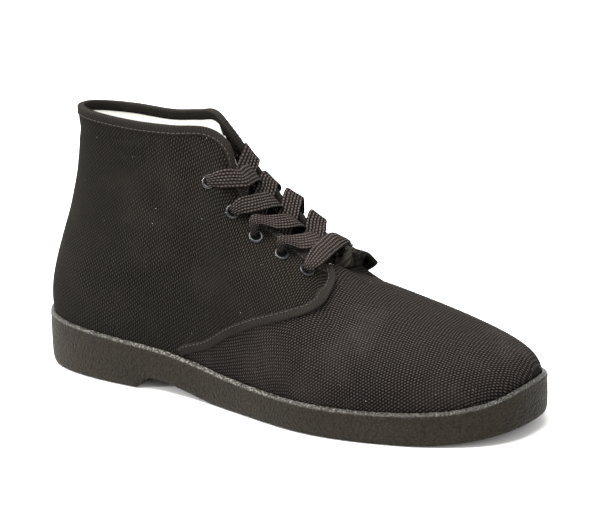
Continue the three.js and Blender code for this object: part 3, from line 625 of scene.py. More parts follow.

# %% [markdown]
# The sole is hard black rubber with a fine pebbled skin that the mould leaves on it. The
# pebbles could be displaced geometry, but they are under a millimetre, so a bump does. Cells of
# a smooth Voronoi pattern are the pebbles, with painted shade in the hollows, a fine noise
# roughens them, and a slow noise lays brownish dust over them. Where the lip faces up, it is
# glossier and a painted highlight lightens its grain, most of all along the middle of the shoe.

# %% Rubber
g = Graph("pebbled black rubber")
solid = g.solid()
pebbles = g.add("TexVoronoi", {"feature": "SMOOTH_F1"}, Vector=solid, Scale=700.0,
                Smoothness=0.4).outputs["Distance"]
grain = g.noise(solid, 1500.0, 3.0, 0.6)
dust = g.noise(solid, 35.0, 5.0, 0.65)
lip = g.times(g.minus(g.facing_up("True Normal"), 0.22, clamp=True), 3.5, clamp=True)
along = g.math("ABSOLUTE", g.plus(g.part_of(solid, 0), 0.03))
middle = g.minus(1.0, g.times(along, 8.0), clamp=True)
# painted highlight: pale specks on the grain of the lip where it faces up, strongest along the
# middle
painted_sparkle = g.times(g.minus(g.noise(solid, 950.0, 2.0, 0.5), 0.5, clamp=True), 9.0, clamp=True)
painted_lip_highlight = g.times(lip, g.plus(g.times(middle, 0.75), 0.15))
colour = g.mix(g.times(g.minus(dust, 0.35, clamp=True), 1.6, clamp=True),
               (.012, .0093, .0054), (.033, .0262, .016))
# painted shade: the hollows between the pebbles are darkened
colour = g.mix(g.times(pebbles, 0.8, clamp=True), colour, (.003, .0024, .0016))
# the lip's painted highlight, pale specks mixed into the colour
colour = g.mix(g.times(painted_sparkle, painted_lip_highlight), colour, (.2, .185, .16))
relief = g.plus(g.times(pebbles, -1.0), g.times(grain, 0.5))
rubber = g.finish(Base_Color=colour, Normal=g.bump(relief, 0.0011),
                  Specular_IOR_Level=g.plus(g.times(lip, 0.4), 0.1),
                  Roughness=g.minus(g.plus(g.times(dust, 0.3), 0.42), g.times(lip, 0.24)))
print("finish made:", rubber.name)

# %% [markdown]
# The eyelets are small metal rings, enamelled black and worn smooth by the lace. Bare polished
# metal would mirror the whole studio, so the metal is dark and dull, and a thin clear coat gives
# the one bright line of enamel. A second, dull black closes the holes behind the laces as painted
# shade.

# %% Enamel and painted shade in the holes
g = Graph("glossy black eyelet")
scratch = g.noise(g.solid(), 900.0, 3.0, 0.6)
eyelet_black = g.finish(Base_Color=(.012, .012, .013, 1), Metallic=0.25, Specular_IOR_Level=.15,
                        Coat_Weight=.35, Coat_Roughness=0.04, Coat_IOR=1.5,
                        Roughness=g.plus(g.times(scratch, 0.2), 0.12),
                        Normal=g.bump(scratch, 0.00003, 0.4))
# painted shade: a dull black that stands in for the shade inside an eyelet's hole
g = Graph("painted shade inside an eyelet")
painted_hole_shade = g.finish(Base_Color=(.002, .002, .002, 1), Roughness=.9, Specular_IOR_Level=.03,
                     Normal=g.bump(g.noise(g.solid(), 900.0), .00002))
print("finishes made:", len(bpy.data.materials))

# %% [markdown]
# The sole is one moulded piece, and its side is a stack of outlines, each with its own inset
# and height. It could be an outline with bevels, but a bevel can't follow a rim that rises at
# heel and toe. The stack starts under the rounded lower edge, is pressed in a little below the
# lip, rolls over the lip, and goes down inside to the footbed.

# %% The sole's outlines
HALF_ROUND = 150
rungs = np.arange(HALF_ROUND + 1) * math.pi / HALF_ROUND
for x in (HEEL_BREAST, HEEL_BREAST + BREAST_RUN, LENGTH * ARCH_END, LENGTH * SPRING_START):
    bend = angle_at(x / LENGTH)
    rungs[int(round(float(bend) / (math.pi / HALF_ROUND)))] = bend
ring_angles = np.concatenate([rungs, (TURN - rungs[1:-1])[::-1]])
under, rim, bed = underside(ring_angles), rim_height(ring_angles), floor_height(ring_angles)
# inset, height
profile = [
    (EDGE_ROUND, under), (EDGE_ROUND * .45, under + EDGE_ROUND * .25),
    (EDGE_ROUND * .2, under + EDGE_ROUND), (.1, under + EDGE_ROUND * 2),
    (0, .55 * under + .45 * rim), (.05, rim - LIP_HEIGHT - 3),
    (HOLLOW * .5, rim - LIP_HEIGHT - 1.4), (HOLLOW, rim - LIP_HEIGHT - .1),
    (HOLLOW * .6, rim - LIP_HEIGHT * .82), (HOLLOW * .1, rim - LIP_HEIGHT * .6),
    (HOLLOW * .6, rim - LIP_HEIGHT * .38), (LIP_WIDTH * .22, rim - LIP_HEIGHT * .16),
    (LIP_WIDTH * .48, rim - LIP_HEIGHT * .03), (LIP_WIDTH * .72, rim),
    (LIP_WIDTH * .95, rim - LIP_HEIGHT * .08), (LIP_WIDTH, rim - LIP_HEIGHT * .3),
    (LIP_WIDTH, rim - LIP_HEIGHT * 1.2), (LIP_WIDTH, bed),
]
rings = []
for inset, height in profile:
    flat = outline_point(ring_angles, np.full(ring_angles.shape, inset))
    flat[:, 2] = height
    rings.append(flat)
rings = np.array(rings)
print("the sole's side:", len(rings), "outlines of", len(ring_angles), "points")

# %% [markdown]
# Moulded rubber has no edges between those outlines, so a smooth curve runs through them, with
# one more outline halfway between each two. A little of the straight line is mixed in, which
# keeps the curve from swelling past the lip. Ladders of quads close the stack above and below,
# and a rung lies on both edges of the heel's sloped breast, so that they stay crisp.

# %% Sole
SWELL_KEPT = 0.85
steps = np.arange(2 * len(profile) - 1) / 2
k = np.minimum(steps.astype(int), len(profile) - 2)
t = (steps - k)[:, None, None]
p0, p1, p2, p3 = (rings[np.clip(k + d, 0, len(profile) - 1)] for d in (-1, 0, 1, 2))
stack = (p1 + t * ((p2 - p0) / 2 + t * (p0 - 2.5 * p1 + 2 * p2 - p3 / 2
                                        + t * (1.5 * (p1 - p2) + (p3 - p0) / 2))))
stack = stack * SWELL_KEPT + (p1 + t * (p2 - p1)) * (1 - SWELL_KEPT)
stack[0], stack[-1] = rings[0], rings[-1]
levels, count = stack.shape[:2]
faces = [list(f) for f in tube_faces(levels, count)]
i = np.arange(count // 2)
rung = np.stack([i, i + 1, (count - i - 1) % count, (count - i) % count], -1)
for base, turn in ((0, 1), ((levels - 1) * count, -1)):
    for face in rung[:, ::turn] + base:
        corners = list(dict.fromkeys(int(n) for n in face))
        if len(corners) > 2:
            faces.append(corners)
sole = add_mesh("moulded_sole", stack.reshape(-1, 3), faces, material=rubber, weld=False, sharp=38)
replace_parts(sole, "sole")
print("sole:", len(sole.data.polygons), "faces")

# %% [markdown]
# The base of the upper is one wall from the footbed up to the collar: black canvas outside and
# a natural cotton lining inside. On the real shoe they are two cloths stuck together. Two
# sheets would lie so close that they might show through each other, so this is one closed
# sheet, and its inner faces have the lining's finish. Between the facings, behind the laces,
# the inside stays black, as the photo shows it.
#
# The weave follows the cloth over the toe: across the shoe it is measured from the ridge down.

# %% Upper: vamp and lining
def wall_at(angle, rise, depth):
    """Point of the wall, depth in from its outside. Below the rim it stands in the sole's cup"""
    point, _, _, normal = frame_at(base_surface, angle, np.maximum(rise, 0))
    point = point - normal * np.asarray(depth)[..., None]
    cup = outline_point(angle, UPPER_INSET + np.broadcast_to(depth, np.shape(angle)))
    below = np.clip(-np.asarray(rise), 0, 1)
    rim, low = rim_height(np.mod(angle, TURN)), floor_height(np.mod(angle, TURN)) + SEAT_GAP
    cup[..., 2] = rim * (1 - below) + low * below
    return np.where(np.asarray(rise)[..., None] < 0, cup, point)


# how square the cloth turns over the ridge, how much longer it is than its plan, and the
# furthest down that counts, in mm
RIDGE_TURN, RIDGE_STRETCH, RIDGE_DOWN = 1.25, 1.06, 90
ridge = base_surface(np.full(200, math.pi), np.linspace(0, 1, 200))
ridge = ridge[np.argsort(ridge[:, 0])]


def vamp_cloth(points):
    """Millimetres of cloth: along the shoe, and down from the ridge on either side"""
    top = np.interp(points[..., 0], ridge[:, 0], ridge[:, 2])
    fall = np.clip(top - points[..., 2], 0, RIDGE_DOWN)
    down = (np.abs(points[..., 1]) ** RIDGE_TURN + fall ** RIDGE_TURN) ** (1 / RIDGE_TURN)
    return np.stack([points[..., 0] * RIDGE_STRETCH, np.sign(points[..., 1]) * down], -1)


columns = np.linspace(0, TURN, 361)
# from -1 at the footbed to 0 at the sole's rim, and from there to 1 at the top
rises = np.concatenate([[-1, -.5, -.15], np.linspace(0, 1, 86)])
rise_at, turned = np.meshgrid(rises, columns, indexing="ij")
outer = wall_at(turned, rise_at, np.zeros(rise_at.shape))
inner = wall_at(turned, rise_at, np.full(rise_at.shape, WALL))
shares = share_at(np.minimum(turned, TURN - turned))
backed = rise_at > 1 - .5 * np.clip((shares - .38) / .06, 0, 1)
cotton = (~backed[:-1, :-1]).astype(np.int32)
upper = closed_sheet("vamp_and_lining", outer, inner, vamp_cloth(outer), vamp_canvas,
                     round_=True, inside=(lining, cotton))
toe_cloth = vamp_cloth(outer[(rise_at >= 0) & (shares > .4)])
print("upper wall:", len(upper.data.polygons), "faces, its vamp laid flat",
      np.ptp(toe_cloth, axis=0).round(), "mm")

# %% [markdown]
# The two quarters are one panel that wraps the heel. It is sewn onto the vamp, so it lies one
# cloth's thickness higher, and its lobes stand away from the vamp at the throat, the far one
# more. A slit cut into the wall would have ragged edges. Here the panel is laid out between
# its own front edges, so the edge is crisp and the grid bends round it.

# %% The quarters' surface
# up, front edge (share of the length), lift of the lobe
FRONT = np.array([
    (0, .352, 0), (.03, .365, 0), (.09, .41, 0), (.2, .47, 0), (.33, .545, 0),
    (.46, .615, .05), (.6, .68, .2), (.74, .75, .5), (.84, .83, .8), (.905, .905, 1),
    (.945, .94, 1), (.975, .925, 1), (1, .86, 1),
])
# side (-1 outer): most lift in mm, and how fast it grows towards the front edge
LOBE_LIFT, LOBE_BEND = {-1: 2.2, 1: 10.0}, {-1: 1.5, 1: .45}
# up, share of the length where the lobe lies down on the vamp again
LOBE_BACK = np.array([(0, .25), (.46, .54), (.6, .59), (.74, .63), (.84, .655), (.905, .672),
                      (1, .69)])
# share, up, half width as a share, half height as a rise, height: puckers under the collar
PUCKERS = [(.17, .928, .03, .012, -.9), (.155, .953, .035, .009, .5),
           (.19, .905, .03, .012, .45)]
front_share = curve_through(FRONT[:, 0], FRONT[:, 1])
front_lift = curve_through(FRONT[:, 0], FRONT[:, 2])


def front_angle(rise):
    return angle_at(front_share(rise))


def quarter_surface(angle, rise):
    """angle is signed here: 0 at the heel, positive on the outer side"""
    point, _, _, normal = frame_at(base_surface, angle, rise)
    share, outer_side = share_at(np.abs(angle)), np.asarray(angle) > 0
    front, back = front_share(rise), np.interp(rise, LOBE_BACK[:, 0], LOBE_BACK[:, 1])
    across = np.clip((front - share) / (front - back), 0, 1)
    most = np.where(outer_side, LOBE_LIFT[-1], LOBE_LIFT[1])
    bend = np.where(outer_side, LOBE_BEND[-1], LOBE_BEND[1])
    lift = most * np.maximum(front_lift(rise), 0) * (1 - across) ** bend
    for at, up, wide, tall, height in PUCKERS:
        near = ((share - at) / wide) ** 2 + ((np.asarray(rise) - up) / tall) ** 2
        lift = lift + height * np.exp(-near) * outer_side
    return point + normal * (QUARTER_STEP + lift)[..., None]


print("the lobes stand up to", max(LOBE_LIFT.values()), "mm off the vamp")

# %% [markdown]
# A flat panel of canvas wraps the heel, so its rows of thread run level round the back and
# climb with the cut at the front. One texture stretched from corner to corner would squeeze
# them at the heel. Here each point gets its true way round the belt and up the wall, in
# millimetres. Those same numbers say how large the panel is when it is laid flat.

# %% Quarters
BELT_RISE, PANEL_GAP = .45, .08
heights = np.stack([run_along(climb)[:, None] for climb in cloth])
belt = cloth[:ANGLES // 2 + 1, int(BELT_RISE * RISES)]
belt_run = run_along(belt)


def quarter_cloth(angle, rise):
    """Millimetres of cloth: round the heel and along the side, and up from the rim"""
    turned = np.abs(angle)
    by_angle = np.interp(turned, grid_angles[:ANGLES // 2 + 1], belt_run)
    by_x = np.interp(quarter_surface(angle, rise)[..., 0], belt[:, 0], belt_run)
    straight = eased(np.clip((share_at(turned) - .1) / .15, 0, 1))
    along = np.sign(angle) * (by_angle + (by_x - by_angle) * straight)
    return np.stack([along, look_up(heights, angle, rise)[..., 0]], -1)


rise_at, sideways = np.meshgrid(np.linspace(0, 1, 111), np.linspace(-1, 1, 341), indexing="ij")
turned = sideways * front_angle(rise_at)
outer = quarter_surface(turned, rise_at)
_, _, _, outward = frame_at(quarter_surface, turned, rise_at)
inner = outer - outward * (QUARTER_STEP - PANEL_GAP)
laid_flat = quarter_cloth(turned, rise_at)
quarters = closed_sheet("quarters", outer, inner, laid_flat, quarter_canvas)
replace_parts(upper, "upper")
print("quarters:", len(quarters.data.polygons), "faces, laid flat",
      np.ptp(laid_flat, axis=(0, 1)).round(), "mm")

# %% [markdown]
# Tape is folded over every free edge of the quarters: up one front edge, round the lobe, along
# the facing and collar, and down the other side. A curve with a bevel could sweep it, but it
# would twist at the lobes. So each spot of the edge gets its own directions, smoothed along
# the run: along the tape, in over the cloth, and off the cloth.

# %% The edge that the tape follows
EDGE_SPOTS = 620
edge_rise = np.linspace(0, 1, 160)
side_path = np.stack([front_angle(edge_rise), edge_rise], -1)
top_angle = np.linspace(front_angle(1.0), -front_angle(1.0), 500)[1:-1]
top_path = np.stack([top_angle, np.ones_like(top_angle)], -1)
path = np.concatenate([side_path, top_path, side_path[::-1] * [-1, 1]])
run = run_along(quarter_surface(path[:, 0], path[:, 1]))
spots = np.linspace(0, run[-1], EDGE_SPOTS)
path = read_along(spots, run, path)

edge, round_, up, normal = frame_at(quarter_surface, path[:, 0], path[:, 1])
edge = smooth_rows(edge, 6)
tangent = unit(smooth_rows(np.gradient(edge, axis=0), 8))
normal = unit(smooth_rows(normal, 12))
inward = unit(np.cross(normal, tangent))
# steps in angle and rise that move one millimetre in from the edge
both_ways = np.stack([round_, up], -1)
step_in = np.stack([np.linalg.lstsq(both_ways[n], inward[n], rcond=None)[0]
                    for n in range(len(edge))])
step_in = smooth_rows(step_in, 10)
on_top = smooth_rows(np.clip((path[:, 1] - .985) / .015, 0, 1)[:, None], 12)[:, 0]
off_wall = np.einsum("ij,ij->i", edge - base_surface(path[:, 0], path[:, 1]), normal)
# what the tape is folded round: the quarter alone, or at the collar the wall as well
thick = (QUARTER_STEP - .1) * (1 - on_top) + (np.maximum(off_wall, .9) + WALL) * on_top
print("edge of the quarters:", round(spots[-1]), "mm")

# %% [markdown]
# The tape's section is a rounded U round the edge of the cloth. It is pressed in a little where
# the stitches hold it down, which is what tells tape from a moulded rim. One table gives the
# section, and it is swept as a single strip with closed ends.

# %% Edge tape
# in from the edge and off the cloth in mm, and 1 on the inner side of the fold
U_SECTION = [(4.6, .02, 0), (4.55, .42, 0), (4.2, .66, 0), (3.65, .34, 0), (3.1, .44, 0),
             (2.2, .5, 0), (1.0, .48, 0), (.3, .38, 0), (-.2, .15, 0), (-.35, -.1, 0),
             (-.35, .1, 1), (-.2, -.3, 1), (.3, -.62, 1), (1.4, -.72, 1), (3.2, -.7, 1),
             (4.6, -.6, 1), (5.0, -.1, 1)]


def on_tape(inset, height):
    """Points of the strip at a distance in from the edge and a height over the cloth"""
    inset = np.broadcast_to(inset, spots.shape)
    moved = path + step_in * np.maximum(inset, 0)[:, None]
    moved[:, 1] = np.clip(moved[:, 1], 0, 1)
    point = quarter_surface(moved[:, 0], moved[:, 1])
    straight = edge + inward * inset[:, None]
    point = np.where(inset[:, None] > 0, point * .6 + straight * .4, straight)
    return point + normal * np.broadcast_to(height, spots.shape)[:, None]


sections = np.stack([on_tape(inset, height - inner_side * thick)
                     for inset, height, inner_side in U_SECTION], 1)
across_run = np.cumsum([0] + [math.dist(a[:2], b[:2]) for a, b in zip(U_SECTION, U_SECTION[1:])])
tape_uv = np.stack(np.broadcast_arrays(spots[:, None], across_run[None, :]), -1)
n = len(U_SECTION)
ends = [list(range(n)), [len(spots) * n - 1 - i for i in range(n)]]
faces = [*grid_faces(len(spots), n), *ends]
faces += [[a + n - 1, a, a + n, a + 2 * n - 1] for a in np.arange(len(spots) - 1) * n]
tape = add_mesh("edge_tape", sections.reshape(-1, 3), faces, tape_uv.reshape(-1, 2),
                material=binding_tape)
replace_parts(tape, "collar_binding")
print("tape:", len(tape.data.polygons), "faces")

# %% [markdown]
# A row of stitches holds the tape down. Each is a short thread that comes up and goes down
# again, so it is a small arch with thin ends. They could be one stitch repeated by an Array
# modifier, but the row turns at the lobes, so each is placed by its length along the tape.
# All of them are joined in one mesh.

# %% Stitches
STITCH_PITCH, STITCH_LENGTH, THREAD_RADIUS = 2.7, 1.9, .2
STITCH_RINGS, STITCH_SIDES = 5, 6


def stitches(name, points, normals):
    """A row of short threads lying on the cloth, each a little arch"""
    run = run_along(points)
    shares = np.linspace(0, 1, STITCH_RINGS)
    rises = (np.sin(shares * math.pi) * 1.2 - .5) * THREAD_RADIUS
    each = STITCH_RINGS * STITCH_SIDES
    verts, faces = [], []
    for start in np.arange(1, run[-1] - STITCH_LENGTH - 1, STITCH_PITCH):
        at = start + shares * STITCH_LENGTH
        centre = read_along(at, run, points)
        off = unit(read_along(at, run, normals))
        side = np.cross(off, unit(np.gradient(centre, axis=0)))
        first = len(verts)
        for k in range(STITCH_RINGS):
            r = THREAD_RADIUS * (.55 if k in (0, STITCH_RINGS - 1) else 1)
            for m in range(STITCH_SIDES):
                a = m * TURN / STITCH_SIDES
                verts.append(centre[k] + off[k] * (rises[k] + r * math.sin(a))
                             + side[k] * r * math.cos(a))
        faces += tube_faces(STITCH_RINGS, STITCH_SIDES, first).tolist()
        faces += [list(range(first, first + STITCH_SIDES)),
                  list(range(first + each - STITCH_SIDES, first + each))[::-1]]
    verts = np.array(verts)
    return add_mesh(name, verts, faces, verts[:, [0, 2]], weld=False, material=thread)


tape_stitches = stitches("tape_stitches", on_tape(3.65, .5), normal)
print("tape:", round(spots[-1]), "mm long, with",
      len(tape_stitches.data.polygons) // ((STITCH_RINGS - 1) * STITCH_SIDES + 2), "stitches")

# %% [markdown]
# An eyelet is a metal tube whose rim is rolled outwards over the cloth. A torus would miss the
# barrel that goes down through the hole. So a short section is turned round the eyelet's axis,
# as on a lathe, and the axis is the cloth's own outward direction, so that each ring sits
# square on the facing. A black cup closes its hole behind the lace as painted shade.

# %% Eyelets
# foot, up: the eyelet's centre. edge: the facing's edge beside it.
EYELETS = [(.41, .76, .48), (.505, .82, .53), (.565, .85, .58), (.62, .88, .635), (.688, .9, .7)]
ROLL_CENTRE, ROLL_WIDE, ROLL_HIGH = 3.1, .8, .6


def seat_on(surface, side, share, rise):
    """Point of a surface on one side of the shoe, and its outward normal"""
    angle = np.array([-side * float(angle_at(share))])
    point, _, _, normal = frame_at(surface, angle, np.array([float(rise)]))
    return point[0], normal[0]


def lathe(name, seat, section, material, sides=36):
    """section: radius and height of each row, in mm"""
    centre, axis = seat
    a = unit(np.cross(axis, [0, 0, 1.0]))
    b = np.cross(axis, a)
    turn = np.arange(sides) * TURN / sides
    points = np.array([centre + axis * h + r * (np.cos(turn)[:, None] * a
                                                + np.sin(turn)[:, None] * b)
                       for r, h in section])
    last = (len(section) - 1) * sides
    faces = [*tube_faces(len(section), sides), list(range(sides)),
             list(range(last, last + sides))[::-1]]
    return add_mesh(name, points.reshape(-1, 3), faces, material=material, weld=False, sharp=50)


roll = [(ROLL_CENTRE + ROLL_WIDE * math.cos(math.radians(a)),
         .45 + ROLL_HIGH * math.sin(math.radians(a))) for a in range(-40, 200, 20)]
ring_section = [(3.3, -.3), *roll, (2.3, -.5), (2.5, -.6)]
cup_section = [(2.3, -.4), (2.3, .14), (.1, .14)]
for side, word in ((-1, "outer"), (1, "inner")):
    for number, (share, rise, _) in enumerate(EYELETS, 1):
        seat = seat_on(quarter_surface, side, share, rise)
        ring = lathe(f"rolled_eyelet_{word}_{number}", seat, ring_section, eyelet_black)
        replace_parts(ring, f"eyelet_{word}_{number}")
        # painted shade: a black disc closes the hole round the lace
        cup = lathe(f"eyelet_shade_disc_{word}_{number}", seat, cup_section, painted_hole_shade, 20)
print("eyelets:", 2 * len(EYELETS))

# %% [markdown]
# The lace is a flat woven braid. Where it comes up through an eyelet it is gathered narrow, and
# it opens out to its full width over the facing. A curve object with a flat profile would keep
# one width and twist freely. So a smooth line is run through a few points, and a flat section
# is placed across it, turned from the eyelet's direction to the strap's own.

# %% Flat lace
LACE_WIDTH, LACE_THICKNESS = 10.8, 1.0
LACE_ROWS, LACE_SIDES = 72, 16
GATHERED_THICKER, CUPPED = .9, -.35


def spline(points, count):
    """Centripetal Catmull-Rom curve through the points, evenly spaced in length"""
    points = np.asarray(points, float)
    ends = np.concatenate([[2 * points[0] - points[1]], points, [2 * points[-1] - points[-2]]])
    out = []

    def between(low, high, t0, t1, x):
        return (t1 - x) / (t1 - t0) * low + (x - t0) / (t1 - t0) * high
    for k in range(len(points) - 1):
        p = ends[k:k + 4]
        gaps = np.linalg.norm(np.diff(p, axis=0), axis=1) ** .5
        t = np.concatenate([[0], np.cumsum(gaps)])
        x = np.linspace(t[1], t[2], 40)[:, None]
        a = [between(p[i], p[i + 1], t[i], t[i + 1], x) for i in range(3)]
        b = [between(a[i], a[i + 1], t[i], t[i + 2], x) for i in range(2)]
        out.append(between(b[0], b[1], t[1], t[2], x))
    out = np.concatenate(out)
    run = run_along(out)
    at = np.linspace(0, run[-1], count)
    return read_along(at, run, out), at


def flat_lace(points, axis, ends, widths):
    """Section by section: gathered at an eyelet, flat and wide between"""
    centre, at = spline(points, LACE_ROWS)
    t = at / at[-1]
    along = unit(smooth_rows(np.gradient(centre, axis=0), 3))
    blend = eased(np.clip((np.minimum(t, 1 - t) - .04) / .22, 0, 1))[:, None]
    start = unit(np.cross(ends[0], along))
    stop = unit(np.cross(ends[1], along))
    start *= np.sign(start @ axis)[:, None]
    stop *= np.sign(stop @ axis)[:, None]
    wide = axis * blend + np.where(t[:, None] < .5, start, stop) * (1 - blend)
    wide -= along * np.sum(wide * along, 1)[:, None]
    wide = unit(smooth_rows(wide, 6))
    thin = np.cross(along, wide)
    w = np.interp(t, [share for share, _ in widths], [width for _, width in widths])
    w = smooth_rows(w[:, None], 6)[:, 0]
    gathered = 1 - (w - w.min()) / (LACE_WIDTH - w.min() + 1e-6)
    h = LACE_THICKNESS * (1 + GATHERED_THICKER * gathered)
    turn = np.arange(LACE_SIDES) * TURN / LACE_SIDES
    cs, sn = np.cos(turn), np.sin(turn)
    shape = np.stack([np.sign(cs) * np.abs(cs) ** .45, np.sign(sn) * np.abs(sn) ** .8], -1)
    cupped = (shape[:, 0] ** 2) * CUPPED
    section = (centre[:, None] + wide[:, None] * (w[:, None] / 2 * shape[:, 0])[..., None]
               + thin[:, None] * (h[:, None] / 2 * shape[:, 1] + cupped)[..., None])
    uv = np.stack([np.repeat(shape[None, :, 0] * LACE_WIDTH / 2, LACE_ROWS, 0),
                   np.repeat(at[:, None], LACE_SIDES, 1)], -1)
    return section, uv


def lace_piece(name, straps, replaced):
    """One mesh from one or two straps, each closed at its ends"""
    verts, faces, uvs = [], [], []
    for section, uv in straps:
        base = sum(len(v) for v in verts)
        rows, sides = section.shape[:2]
        last = base + (rows - 1) * sides
        faces += [*tube_faces(rows, sides, base).tolist(), list(range(base, base + sides))[::-1],
                  list(range(last, last + sides))]
        verts.append(section.reshape(-1, 3))
        uvs.append(uv.reshape(-1, 2))
    piece = add_mesh(name, np.concatenate(verts), faces, np.concatenate(uvs), weld=False,
                     material=lace_cotton)
    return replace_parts(piece, replaced)


print("the lace is", LACE_WIDTH, "mm wide when it lies flat")

# %% [markdown]
# Each crossing is two straps. A strap leaves an upper eyelet, arches over its facing, dives
# under the facing opposite and goes out through the next eyelet down. A cloth simulation could
# let it fall, but it would not fall as in the photo. So a few points are set, measured
# from the eyelets and the facings' edges: this keeps every strap on the shoe if a size changes.
# The outer side's strap lies on the inner side's one.

# %% Crossings of the lace
# arch: height of the strap over the facing in mm. swing: how far along it turns across, as a
# share. near, far: where it crosses the outer and the inner facing, between its two eyelets.
STRAPS = [(1.5, .01, .1, -.25), (2.4, .0, .0, -.42), (6.2, -.016, -.12, -.4),
          (5.8, -.013, -.06, -.3)]
# share of the way from facing to facing, height over the straight line in mm
UPPER_STRAP = ((.3, 4.2), (.62, 3.2), (.86, -.4))
LOWER_STRAP = ((.2, .2), (.45, -2.4), (.75, -2.9))
# share of the strap, width in mm: opening at once, or gathered a little longer
OPENING = [(0, 4), (.06, 5.5), (.17, 10), (.24, LACE_WIDTH), (.85, LACE_WIDTH), (1, 6)]
GATHERED = [(0, 3), (.05, 3), (.12, 4.5), (.2, 8), (.3, LACE_WIDTH), (.85, LACE_WIDTH), (1, 6)]
CROSS_UP = np.array([.55, 0, .83])
# in mm: clear of its own facing (outer strap, inner strap) and of the wall that it dives under
OVER_OUTER, OVER_INNER, UNDER_WALL = 2.6, 1.9, 1.7
# in mm: down in the eyelet, just out of it, out behind the next eyelet, and a gathered
# strap's lean towards the eyelet above
IN_EYELET, OUT_OF_EYELET, BEHIND_EYELET, LEAN = 2.2, 1.3, 2.4, 1.4


def on_side(surface, side, share, rise, height):
    point, normal = seat_on(surface, side, share, rise)
    return point + normal * height


def strap(k, side):
    """From upper eyelet k of one side to the next eyelet down of the other side"""
    (foot, up, edge), (low_foot, low_up, low_edge) = EYELETS[k], EYELETS[k + 1]
    arch, swing, near_at, far_at = STRAPS[k]
    upper_strap = side < 0
    gathered = upper_strap and k > 1

    def facing(surface, of_side, share, height):
        return on_side(surface, of_side, mix(edge, low_edge, share), 1.0, height)
    centre, normal = seat_on(quarter_surface, side, foot, up)
    crosses = near_at if upper_strap else far_at
    edge_near = facing(quarter_surface, side, crosses, OVER_OUTER if upper_strap else OVER_INNER)
    near, far = facing(base_surface, side, crosses + .1, 0), facing(base_surface, -side, .3, 0)
    middle = [mix(near, far, t) + CROSS_UP * h
              for t, h in (UPPER_STRAP if upper_strap else LOWER_STRAP)]
    under = facing(base_surface, -side, .38, -(WALL + UNDER_WALL))
    end, end_normal = seat_on(base_surface, -side, low_foot, low_up)
    axis = unit(facing(base_surface, 1, 0, 0) - on_side(base_surface, 1, low_edge, 1.0, 0))
    over = on_side(quarter_surface, side, mix(foot, mix(edge, low_edge, crosses), .5) + swing,
                   mix(up, 1, .25 if gathered else .45), arch)
    lean = axis * (LEAN if gathered else 0)
    points = [centre - normal * IN_EYELET + lean, centre + normal * OUT_OF_EYELET + lean, over,
              edge_near, *middle, under, end - end_normal * (WALL + BEHIND_EYELET)]
    return flat_lace(points, axis, (normal, end_normal), GATHERED if gathered else OPENING)


for k in range(len(STRAPS)):
    lace_piece(f"woven_lace_{k + 1}", [strap(k, side) for side in (-1, 1)], f"lace_cross_{k + 1}")
print("crossings:", len(STRAPS))

# %% [markdown]
# One straight bar joins the lowest two eyelets and lies on top of all. It is where the lacing
# starts on the real shoe. It could be a strip bent like the straps, and it is: only
# both its ends come up through an eyelet, so it is the same lace with one more table of widths.

# %% Bar of the lace
BAR_WIDTHS = [(0, 4), (.06, 5), (.2, 9.5), (.3, LACE_WIDTH), (.7, LACE_WIDTH), (.8, 9.5),
              (.94, 5), (1, 4)]
# in mm: down in the eyelet, just out of it, at its bend, and the crown in the middle
BAR_IN, BAR_OUT, BAR_BEND, BAR_CROWN = 2, 1.5, 3.4, .8
# side, height over the facing's edge in mm
BAR_OVER = ((-1, 3.4), (1, 3.6))
share, rise, edge_share = EYELETS[4]
(c0, n0), (c1, n1) = (seat_on(quarter_surface, s, share, rise) for s in (-1, 1))
e0, e1 = (on_side(quarter_surface, s, edge_share - .008, 1.0, h) for s, h in BAR_OVER)
axis = unit(on_side(base_surface, 1, EYELETS[3][2], 1.0, 0)
            - on_side(base_surface, 1, edge_share, 1.0, 0))
bar = flat_lace([c0 - n0 * BAR_IN, c0 + n0 * BAR_OUT, mix(c0 + n0 * BAR_BEND, e0, .55), e0,
                 mix(e0, e1, .5) + [0, 0, BAR_CROWN], e1, mix(c1 + n1 * BAR_BEND, e1, .55),
                 c1 + n1 * BAR_OUT, c1 - n1 * BAR_IN], axis, (n0, n1), BAR_WIDTHS)
lace_piece("woven_lace_bar", [bar], "lace_bar")
print("laces made")

# %% [markdown]
# The tongue is a sheet of the same canvas. It keeps the laces off the foot, and little of it
# shows. It could be a plane dropped on the foot, but it has to clear the laces above it and the
# wall beside it. So each row starts some way inside one facing, crosses under the laces with a
# low crown, and ends inside the other. Its lower end is tucked under the vamp.

# %% Tongue
# edge (share of the length), how much deeper than usual, height of the crown as a share
TONGUE = [(.73, -.17, .1), (.69, .2, .2), (.62, .1, .3), (.57, .25, .3), (.53, .4, .25),
          (.49, .5, .25), (.46, .45, .4), (.44, .45, .6)]
TONGUE_DEPTH, TONGUE_WALL, TONGUE_HALF = 5.15, 2.0, 26
# mm of cloth in from the facing's edge, and the length tucked on under the vamp
TONGUE_REACH, TONGUE_TUCK = (20, 10, 0), 3
TONGUE_ROWS, TONGUE_COLUMNS = 70, 41


